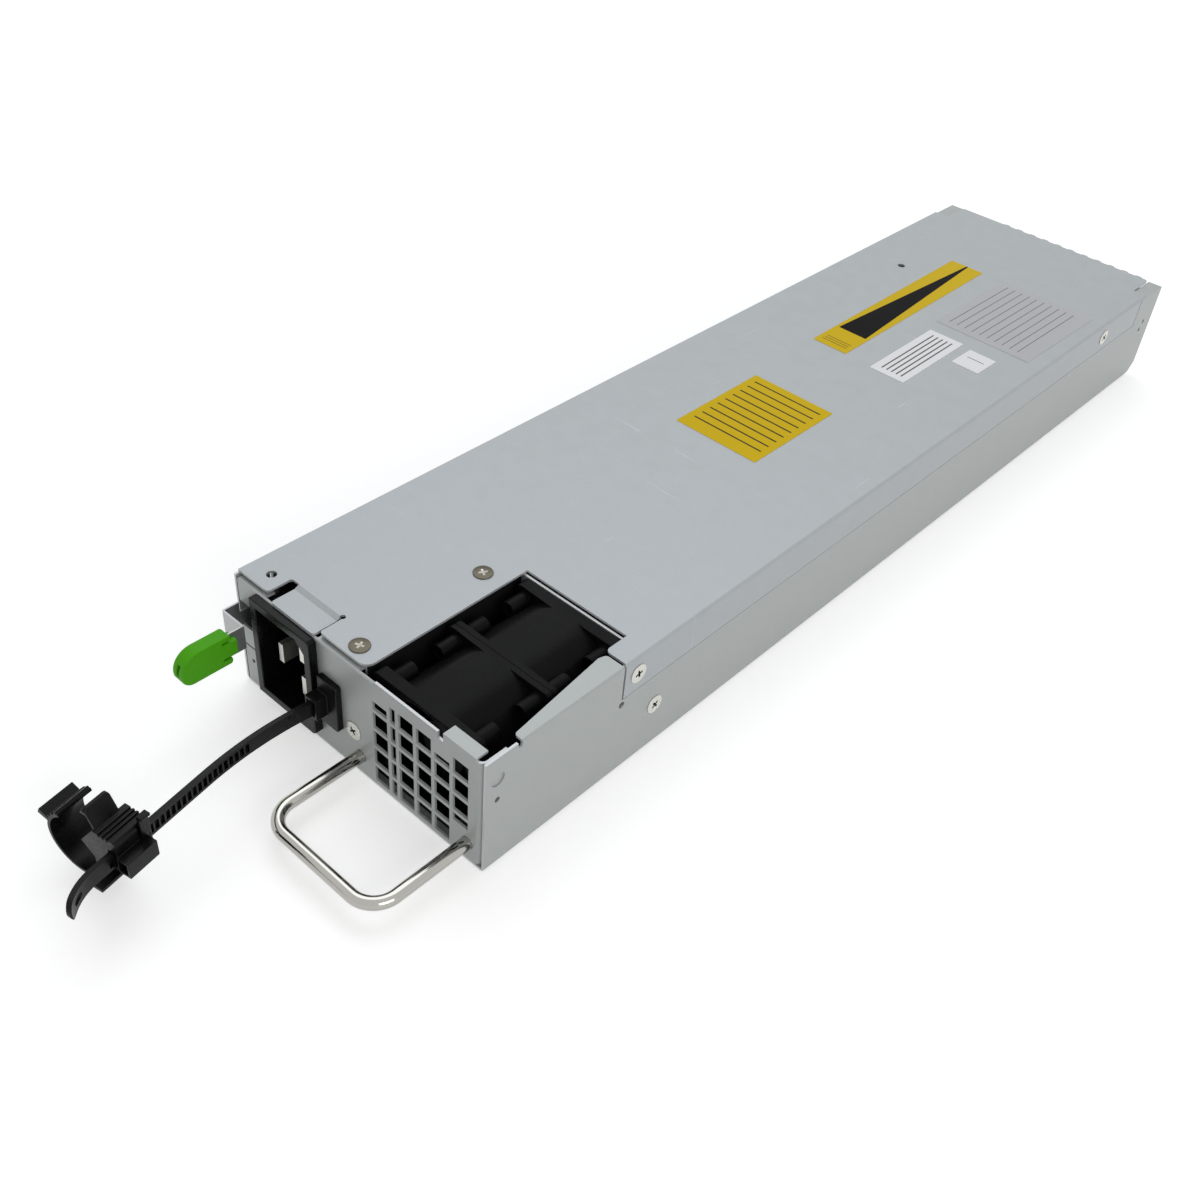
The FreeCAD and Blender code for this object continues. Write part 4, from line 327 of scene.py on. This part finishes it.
def stands_for(piece, node):
    """Puts a piece in a node's place: on its body, and shown instead."""
    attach(piece, body_of[node])
    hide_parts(node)


def merged_copy(node, material, edge_material):
    """A copy of a carried-over node with whole faces in place of its loose triangles."""
    piece = bpy.data.objects.new(node + "_shape", frame["nodes"][node].data.copy())
    scene.collection.objects.link(piece)
    piece.data.materials.clear()
    piece.data.materials.append(material)
    piece.data.materials.append(edge_material)
    only(piece)
    bpy.ops.mesh.customdata_custom_splitnormals_clear()
    bpy.ops.object.mode_set(mode="EDIT")
    bpy.ops.mesh.select_all(action="SELECT")
    bpy.ops.mesh.remove_doubles(threshold=0.0005 * mm)
    bpy.ops.mesh.dissolve_limited(angle_limit=math.radians(0.6))
    bpy.ops.object.mode_set(mode="OBJECT")
    return piece


sheet_thick, broken_edge, fold_angle, cut_angle = 0.8 * mm, 0.14 * mm, 22, 60
sharp_share = 0.85


def mark_cut_faces(piece):
    """Gives slot 1 to the narrow faces that lie between sharp edges, where the sheet was cut."""
    only(piece)
    bpy.ops.object.mode_set(mode="EDIT")
    bpy.ops.mesh.select_mode(type="EDGE")
    bpy.ops.mesh.select_all(action="DESELECT")
    bpy.ops.mesh.edges_select_sharp(sharpness=math.radians(cut_angle))
    bpy.ops.object.mode_set(mode="OBJECT")
    points = piece.data.vertices
    length, sharp = {}, set()
    for edge in piece.data.edges:
        length[edge.key] = (points[edge.key[0]].co - points[edge.key[1]].co).length
        if edge.select:
            sharp.add(edge.key)
    for face in piece.data.polygons:
        around = sum(length[key] for key in face.edge_keys)
        cut = sum(length[key] for key in face.edge_keys if key in sharp)
        if cut > sharp_share * around and 2 * face.area / around < sheet_thick + 0.01 * mm:
            face.material_index = 1


def sheet_piece(node, sheet):
    """A sheet-metal node with its sheared edges broken and bright (bare steel and a painted
    highlight), and its folds crisp.
    """
    piece = merged_copy(node, sheet, bare_edge_and_highlight)
    mark_cut_faces(piece)
    round_edges(piece, broken_edge, clamped=True, smooth_angle=fold_angle)
    stands_for(piece, node)
    return piece


zinc_sheet = grained("zinc_sheet", (0.405, 0.428, 0.424), 0.42, metallic=0.30, bump=0.00001,
                     grain_size=1500.0, grain_depth=0.16, cloud_size=120.0, cloud_depth=0.09,
                     scratches=0.10)
# Lighter colour on the cut and rounded edges: partly bare steel, partly a painted highlight.
bare_edge_and_highlight = grained("bare_edge_and_highlight", (0.58, 0.595, 0.61), 0.34, metallic=0.28, grain_size=2200.0)
for name in ("chassis_tray", "front_panel", "rear_panel"):
    sheet_piece(name, zinc_sheet)

bracket = sheet_piece("fan_bracket", zinc_sheet)
# Painted shade: the bracket's faces towards the fan are coloured near black, where the fan's
# shadow falls.
bracket.data.materials.append(grained("painted_shade_cheek", (0.010, 0.010, 0.011), 0.5, specular=0.1))
shade_slot = len(bracket.data.materials) - 1
for face in bracket.data.polygons:
    if face.normal.x > 0.9:
        face.material_index = shade_slot


# Top cover: one sheet folded over both sides of the tray, with the opening over the fan and
# the tab behind the inlet cut into it. It is the face that hands touch, so it has more marks.

cover_sheet = grained("cover_sheet", (0.422, 0.450, 0.466), 0.44, metallic=0.30, bump=0.00001,
                      grain_size=1500.0, grain_depth=0.16, cloud_size=140.0, cloud_depth=0.13,
                      scratches=0.16)
sheet_piece("top_cover", cover_sheet)


# Boards and the film under them. Glass epoxy board with green lacquer, standing on brass
# pillars in the tray, over a sheet of pale insulating film.

board_lacquer = grained("board_lacquer", (0.02, 0.10, 0.04), 0.4, grain_size=400.0)
dress(board_lacquer, "main_board", "control_board", "inlet_board")
dress(grained("insulating_film", (0.55, 0.53, 0.42), 0.35), "insulation_sheet")
tinned_brass = grained("tinned_brass", (0.72, 0.71, 0.66), 0.28, metallic=0.9, grain_size=1800.0)
dress(tinned_brass, "standoffs", "board_screws", "power_contacts")


# Wound parts: chokes, the main transformer and the inductors. Lacquered copper wire around
# dark sintered cores.

dress(grained("wound_copper", (0.42, 0.17, 0.06), 0.35, metallic=0.4, grain_size=600.0,
              grain_depth=0.5, stretch=(0.1, 1.0, 1.0)),
      "common_mode_choke", "pfc_choke", "transformer_winding")
dress(grained("sintered_core", (0.05, 0.05, 0.055), 0.6, grain_size=800.0, grain_depth=0.4),
      "main_transformer", "resonant_inductor", "output_inductors", "bridge_rectifier")


# Capacitors and heat sinks. Boxed film capacitors in yellow, electrolytic cans in a dark
# shrunk sleeve, and sinks of plain extruded aluminium.

dress(grained("boxed_film", (0.62, 0.48, 0.08), 0.4), "x_capacitors")
dress(grained("can_sleeve", (0.03, 0.035, 0.06), 0.3), "bulk_capacitors", "output_capacitors")
dress(grained("bare_aluminium", (0.6, 0.61, 0.62), 0.35, metallic=0.9, grain_size=900.0,
              stretch=(1.0, 0.1, 1.0)),
      "primary_heatsink", "secondary_heatsink")


# Twin fan: two square frames back to back and their impellers, moulded in black glass-filled
# plastic. The motors sit in the hubs, on plates at the seam, and the rotors turn on steel.

fan_plastic = grained("fan_plastic", (0.004, 0.004, 0.0045), 0.40, specular=0.06,
                      grain_size=1100.0, grain_depth=0.5, cloud_size=60.0, cloud_depth=0.5,
                      bump=0.00003)


def moulding(node, width, plastic):
    """A moulded node with all its edges rounded to a width."""
    piece = merged_copy(node, plastic, plastic)
    round_edges(piece, width, clamped=False, smooth_angle=sharp_from)
    stands_for(piece, node)


for name in ("fan_frame_front", "fan_frame_rear"):
    moulding(name, 0.25 * mm, fan_plastic)
dress(fan_plastic, "front_impeller", "rear_impeller")
motor_steel = grained("motor_steel", (0.55, 0.55, 0.56), 0.3, metallic=0.9, grain_size=2000.0)
dress(motor_steel, "front_shaft", "rear_shaft", "front_bearing", "rear_bearing", "fan_screws")
motor_dark = grained("motor_dark", (0.06, 0.05, 0.045), 0.6)
dress(motor_dark, "front_rotor_magnet", "rear_rotor_magnet", "front_stator", "rear_stator")


# Mains inlet and the output connector: black mouldings with tin-plated brass in them. The
# inlet's rim stands in front of the panel, and its blades end inside the socket.

moulded_black = grained("moulded_black", (0.004, 0.004, 0.0045), 0.28, specular=0.13,
                        grain_size=1300.0, grain_depth=0.3, bump=0.00002)
moulding("inlet_housing", 0.35 * mm, moulded_black)
moulding("output_connector", 0.2 * mm, moulded_black)
dress(tinned_brass, "inlet_blades")


# Pull handle: steel wire bent to a U, nickel plated and polished, so it is dark where it faces
# the eye and bright along its sides. Washers behind the panel hold its ends.

nickel = grained("nickel", (0.44, 0.43, 0.40), 0.12, metallic=1.0, grain_size=2500.0,
                 grain_depth=0.04, cloud_size=90.0, bump=0.000005)
dress(nickel, "pull_handle")
dress(motor_steel, "handle_washers")


# Release latch: a leaf of spring steel riveted inside the tray's left side, and the green grip
# moulded to push over its end.

leaf_steel = grained("leaf_steel", (0.42, 0.43, 0.43), 0.35, metallic=0.8, grain_size=1800.0)
sheet_piece("latch_spring", leaf_steel)
dress(motor_steel, "latch_rivets")
grip_green = grained("grip_green", (0.085, 0.43, 0.008), 0.44, specular=0.12,
                     grain_size=1200.0, grain_depth=0.12)
moulding("latch_grip", 0.4 * mm, grip_green)


# Cord strap: an anchor pushed into the panel, a strap with ratchet windows, and the clamp that
# slides on it with its jaw and lever. All are nylon, black, with a satin skin.

nylon = grained("nylon", (0.004, 0.004, 0.0045), 0.32, specular=0.15, grain_size=900.0,
                grain_depth=0.4, cloud_size=120.0, cloud_depth=0.4, bump=0.00003)
moulding("strap_anchor", 0.3 * mm, nylon)
moulding("clamp_body", 0.2 * mm, nylon)
moulding("clamp_jaw", 0.2 * mm, nylon)
moulding("clamp_lever", 0.2 * mm, nylon)

# The ratchet windows run on along the strap's bow, where they are cut as deep as those of its
# straight end.
strap_lean = math.radians(11.5)
bow_start = Vector((-9.63, -243.465, 20.0)) * mm
bow_radius = 118 * mm
window_pitch, window_long, window_tall, window_deep = 1.9 * mm, 1.3 * mm, 3.2 * mm, 0.8 * mm
strap_face, window_count = 0.75 * mm, 10
cut_out = 2 * window_deep
rightward = Vector((math.cos(strap_lean), math.sin(strap_lean), 0))
forward = Vector((-math.sin(strap_lean), math.cos(strap_lean), 0))
bpy.ops.object.select_all(action="DESELECT")
bpy.ops.mesh.primitive_cube_add(
    size=1, rotation=(0, 0, strap_lean),
    location=(bow_start + rightward * (strap_face - window_deep + cut_out / 2)
              - forward * (window_pitch - window_long / 2)))
windows = bpy.context.object
windows.scale = (cut_out, window_long, window_tall)
bpy.ops.object.transform_apply(location=True, rotation=True, scale=True)
bpy.ops.object.mode_set(mode="EDIT")
bpy.ops.mesh.select_all(action="SELECT")
bpy.ops.mesh.spin(steps=window_count - 1, dupli=True, axis=(0, 0, 1),
                  center=bow_start + rightward * bow_radius,
                  angle=(window_count - 1) * window_pitch / bow_radius)
bpy.ops.object.mode_set(mode="OBJECT")
strap = merged_copy("retaining_strap", nylon, nylon)
opening = strap.modifiers.new("opening", "BOOLEAN")
opening.operation = "DIFFERENCE"
opening.solver = "EXACT"
opening.object = windows
bpy.ops.object.modifier_apply(modifier="opening")
bpy.data.objects.remove(windows)
round_edges(strap, 0.10 * mm, clamped=True, smooth_angle=sharp_from)
stands_for(strap, "retaining_strap")


# Screws of the case. Steel, with a flat round head, a cross recess and a rounded rim. Those on
# the sides and the panel are plated bright, the two beside the fan are passivated darker.

screw_head_radius, screw_head = 3.1 * mm, 0.35 * mm
screw_shank_radius, screw_shank = 1.5 * mm, 3.65 * mm
recess_span, recess_wide, recess_deep, recess_taper = 3.7 * mm, 0.95 * mm, 1.1 * mm, 0.5
screw_rim = 0.16 * mm


def pick_faces(piece, wanted):
    """Enters edit mode with only the wanted faces selected."""
    only(piece)
    bpy.ops.object.mode_set(mode="EDIT")
    bpy.ops.mesh.select_mode(type="FACE")
    bpy.ops.mesh.select_all(action="DESELECT")
    bpy.ops.object.mode_set(mode="OBJECT")
    for face in piece.data.polygons:
        face.select = wanted(face)
    bpy.ops.object.mode_set(mode="EDIT")


def cross_screw(plating, recess_painted_light):
    """A screw along Z with the top of its head at the origin."""
    bpy.ops.object.select_all(action="DESELECT")
    bpy.ops.mesh.primitive_cylinder_add(vertices=48, radius=screw_head_radius, depth=screw_head,
                                        location=(0, 0, -screw_head / 2))
    screw = bpy.context.object
    bpy.ops.object.transform_apply(location=True)
    pick_faces(screw, lambda face: face.normal.z < -0.9)
    bpy.ops.mesh.inset(thickness=screw_head_radius - screw_shank_radius)
    bpy.ops.mesh.extrude_region_move(TRANSFORM_OT_translate={"value": (0, 0, -screw_shank)})
    bpy.ops.object.mode_set(mode="OBJECT")
    screw.data.materials.append(plating)
    screw.data.materials.append(recess_painted_light)
    rim = screw.modifiers.new("rim", "BEVEL")
    rim.width = screw_rim
    rim.segments = 3
    rim.limit_method = "ANGLE"
    rim.angle_limit = math.radians(50)
    bpy.ops.object.modifier_apply(modifier="rim")
    for span, wide in ((recess_span, recess_wide), (recess_wide, recess_span)):
        bpy.ops.object.select_all(action="DESELECT")
        bpy.ops.mesh.primitive_cube_add(size=1, scale=(span, wide, 2 * recess_deep))
        arm = bpy.context.object
        bpy.ops.object.transform_apply(scale=True)
        pick_faces(arm, lambda face: face.normal.z < -0.9)
        bpy.ops.transform.resize(value=(recess_taper, recess_taper, 1))
        bpy.ops.object.mode_set(mode="OBJECT")
        arm.data.materials.append(plating)
        arm.data.materials.append(recess_painted_light)
        for face in arm.data.polygons:
            face.material_index = 1
        recess = screw.modifiers.new("recess", "BOOLEAN")
        recess.operation = "DIFFERENCE"
        recess.solver = "EXACT"
        recess.object = arm
        only(screw)
        bpy.ops.object.modifier_apply(modifier="recess")
        bpy.data.objects.remove(arm)
    bpy.ops.object.shade_smooth_by_angle(angle=math.radians(35))
    return screw


def set_screws(pattern, node, places):
    """Copies of a screw for one node. A place is a point, the way it faces and its last turn."""
    for number, (point, facing, turn) in enumerate(places):
        screw = bpy.data.objects.new("%s_%d" % (node, number + 1), pattern.data.copy())
        scene.collection.objects.link(screw)
        screw.matrix_world = (Matrix.Translation(Vector(point) * mm)
                              @ Vector(facing).to_track_quat("Z", "Y").to_matrix().to_4x4()
                              @ Matrix.Rotation(math.radians(turn), 4, "Z"))
        only(screw)
        bpy.ops.object.transform_apply(location=True, rotation=True, scale=True)
        stands_for(screw, node)


plated_bright = grained("plated_bright", (0.70, 0.70, 0.64), 0.28, metallic=0.5, grain_size=2000.0)
plated_dark = grained("plated_dark", (0.095, 0.083, 0.062), 0.24, metallic=0.9, grain_size=2000.0)
# The recesses are coloured for the light in them: near black on the bright screws as painted
# shade, near white on the dark screws as a painted highlight.
recess_shade = grained("recess_shade", (0.03, 0.03, 0.03), 0.5, metallic=0.5, grain_size=2000.0)
painted_highlight_recess = grained("painted_highlight_recess", (0.95, 0.94, 0.90), 0.3, metallic=0.35, grain_size=2000.0)
bright_screw = cross_screw(plated_bright, recess_shade)
dark_screw = cross_screw(plated_dark, painted_highlight_recess)
top, side, front = 42.35, 52.35, -200.35
set_screws(dark_screw, "cover_top_screws",
           [((-3.4, -194.2, top), (0, 0, 1), 20), ((-3.4, -148, top), (0, 0, 1), 62)])
set_screws(bright_screw, "front_panel_screw", [((-0.8, front, 15.2), (0, -1, 0), 35)])
set_screws(bright_screw, "cover_side_screws",
           [((side, -141.3, 35.8), (1, 0, 0), 12), ((side, 147.8, 35.8), (1, 0, 0), 50),
            ((-side, -141.3, 35.8), (-1, 0, 0), 28), ((-side, 147.8, 35.8), (-1, 0, 0), 75)])
set_screws(bright_screw, "chassis_side_screws",
           [((side, -131.7, 17.2), (1, 0, 0), 40), ((-side, -131.7, 17.2), (-1, 0, 0), 66)])
for pattern in (bright_screw, dark_screw):
    bpy.data.objects.remove(pattern)


# Labels on the cover: thin plastic film, glued flat, with rounded corners and plain ruling.
# The long one has a plain black wedge along it.

film_thick = 0.08 * mm
glue_line = 42.02 * mm


def ruling_group():
    """Ruled lines across Object Y or X, inside a frame, as a mask."""
    group, start, end = make_group(
        "plain_ruling",
        [("Turn", "Vector", (0.0, 0.0, 0.0)), ("Centre", "Vector", (0.0, 0.0, 0.0)),
         ("Half Width", "Float", 0.01), ("Half Length", "Float", 0.01),
         ("Pitch", "Float", 0.003), ("Line", "Float", 0.2)],
        [("Mask", "Float")])
    shift = group.nodes.new("ShaderNodeVectorMath")
    shift.operation = "SUBTRACT"
    group.links.new(group.nodes.new("ShaderNodeTexCoord").outputs["Object"], shift.inputs[0])
    group.links.new(start.outputs["Centre"], shift.inputs[1])
    turn = group.nodes.new("ShaderNodeVectorRotate")
    turn.rotation_type = "EULER_XYZ"
    group.links.new(shift.outputs[0], turn.inputs["Vector"])
    group.links.new(start.outputs["Turn"], turn.inputs["Rotation"])
    axes = group.nodes.new("ShaderNodeSeparateXYZ")
    group.links.new(turn.outputs["Vector"], axes.inputs[0])
    inside = reckon(
        group, "MULTIPLY",
        reckon(group, "LESS_THAN", reckon(group, "ABSOLUTE", axes.outputs["X"]),
               start.outputs["Half Width"]),
        reckon(group, "LESS_THAN", reckon(group, "ABSOLUTE", axes.outputs["Y"]),
               start.outputs["Half Length"]))
    along = reckon(group, "ADD", axes.outputs["Y"], 1.0)
    step = reckon(group, "FRACT", reckon(group, "DIVIDE", along, start.outputs["Pitch"]))
    rule = reckon(group, "LESS_THAN", step, start.outputs["Line"])
    group.links.new(reckon(group, "MULTIPLY", inside, rule), end.inputs["Mask"])
    return group


plain_ruling = ruling_group()


def ruled_film(name, color, ink, centre, turn, half_width, half_length, pitch, line):
    """A film with a satin skin and ruled lines about a centre. Its sizes are in mm."""
    material, tree, shader = plain_material(name)
    grain = grain_node(tree, color, 0.42, grain_depth=0.05, cloud_depth=0.05)
    rules = tree.nodes.new("ShaderNodeGroup")
    rules.node_tree = plain_ruling
    rules.inputs["Centre"].default_value = (centre[0] * mm, centre[1] * mm, 0)
    rules.inputs["Turn"].default_value = (0, 0, -math.radians(turn))
    rules.inputs["Half Width"].default_value = half_width * mm
    rules.inputs["Half Length"].default_value = half_length * mm
    rules.inputs["Pitch"].default_value = pitch * mm
    rules.inputs["Line"].default_value = line
    blend = tree.nodes.new("ShaderNodeMix")
    blend.data_type = "RGBA"
    tree.links.new(rules.outputs["Mask"], blend.inputs["Factor"])
    tree.links.new(grain.outputs["Color"], blend.inputs["A"])
    blend.inputs["B"].default_value = (*ink, 1)
    finish_surface(tree, shader, blend.outputs["Result"], grain, bump=0.00001, specular=0.08)
    return material


def stick_film(name, centre, size, material, turn=0, corner=0.5):
    """A rectangle of film on the cover with its corners rounded off. Its sizes are in mm."""
    bpy.ops.object.select_all(action="DESELECT")
    bpy.ops.mesh.primitive_plane_add(size=1, location=(centre[0] * mm, centre[1] * mm, glue_line),
                                     rotation=(0, 0, math.radians(turn)))
    piece = bpy.context.object
    piece.name = name
    piece.scale = (size[0] * mm, size[1] * mm, 1)
    bpy.ops.object.transform_apply(location=True, rotation=True, scale=True)
    bpy.ops.object.mode_set(mode="EDIT")
    bpy.ops.mesh.select_all(action="SELECT")
    bpy.ops.mesh.bevel(offset=corner * mm, segments=4, affect="VERTICES")
    bpy.ops.mesh.extrude_region_move(TRANSFORM_OT_translate={"value": (0, 0, film_thick)})
    bpy.ops.mesh.select_all(action="SELECT")
    bpy.ops.mesh.normals_make_consistent(inside=False)
    bpy.ops.object.mode_set(mode="OBJECT")
    piece.data.materials.append(material)
    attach(piece, "case")


yellow = (0.74, 0.51, 0.0)
ink_black = (0.006, 0.006, 0.006)
paper_white, paper_ink = (0.95, 0.955, 0.97), (0.10, 0.10, 0.10)
silver, silver_ink = (0.56, 0.57, 0.595), (0.16, 0.16, 0.17)

middle = (-1.4, -18.75)
broad_film = ruled_film("broad_film", yellow, ink_black, middle, turn=0, half_width=14.5,
                        half_length=19.5, pitch=39.0 / 9, line=0.16)
stick_film("broad_label", middle, (34.2, 45.5), broad_film, corner=0.6)

middle, ruled_middle = (-12.9, 94.75), (-12.9, 48.0)
strip_film = ruled_film("strip_film", yellow, ink_black, ruled_middle, turn=0, half_width=5.5,
                        half_length=2.4, pitch=1.6, line=0.2)
stick_film("strip_label", middle, (15.0, 103.5), strip_film)

middle = (13.6, 63.75)
small_film = ruled_film("small_film", paper_white, paper_ink, middle, turn=90, half_width=18.5,
                        half_length=5.2, pitch=2.1, line=0.28)
stick_film("small_label", middle, (14.8, 43.5), small_film, corner=0.4)

middle = (30.75, 76.8)
square_film = ruled_film("square_film", paper_white, paper_ink, middle, turn=-1, half_width=3.6,
                         half_length=3.6, pitch=7.0, line=0.06)
stick_film("square_label", middle, (11.5, 13.6), square_film, turn=-1, corner=0.4)

middle = (25.0, 119.9)
silver_film = ruled_film("silver_film", silver, silver_ink, middle, turn=89, half_width=23.0,
                         half_length=17.0, pitch=3.4, line=0.10)
stick_film("silver_label", middle, (41.2, 53.6), silver_film, turn=-1)

wedge_low, wedge_high, wedge_wide, wedge_middle = 58.6, 146.5, 12.4, -12.9
wedge_tip, ink_thick = 0.06, 0.01 * mm
bpy.ops.object.select_all(action="DESELECT")
bpy.ops.mesh.primitive_plane_add(size=1, location=(0, 0, 0))
wedge = bpy.context.object
wedge.name = "strip_wedge"
wedge.scale = (wedge_wide * mm, (wedge_high - wedge_low) * mm, 1)
wedge.location = (wedge_middle * mm, (wedge_high + wedge_low) / 2 * mm, glue_line + film_thick)
bpy.ops.object.transform_apply(location=True, rotation=True, scale=True)
bpy.ops.object.mode_set(mode="EDIT")
bpy.ops.mesh.select_mode(type="VERT")
bpy.ops.mesh.select_all(action="DESELECT")
bpy.ops.object.mode_set(mode="OBJECT")
for corner in wedge.data.vertices:
    corner.select = corner.co.y > wedge_low * mm + 0.01
bpy.ops.object.mode_set(mode="EDIT")
bpy.ops.transform.resize(value=(wedge_tip, 1, 1))
bpy.ops.mesh.select_all(action="SELECT")
bpy.ops.mesh.extrude_region_move(TRANSFORM_OT_translate={"value": (0, 0, ink_thick)})
bpy.ops.mesh.select_all(action="SELECT")
bpy.ops.mesh.normals_make_consistent(inside=False)
bpy.ops.object.mode_set(mode="OBJECT")
wedge_ink = grained("wedge_ink", ink_black, 0.5, specular=0.03, grain_size=700.0)
wedge.data.materials.append(wedge_ink)
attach(wedge, "case")
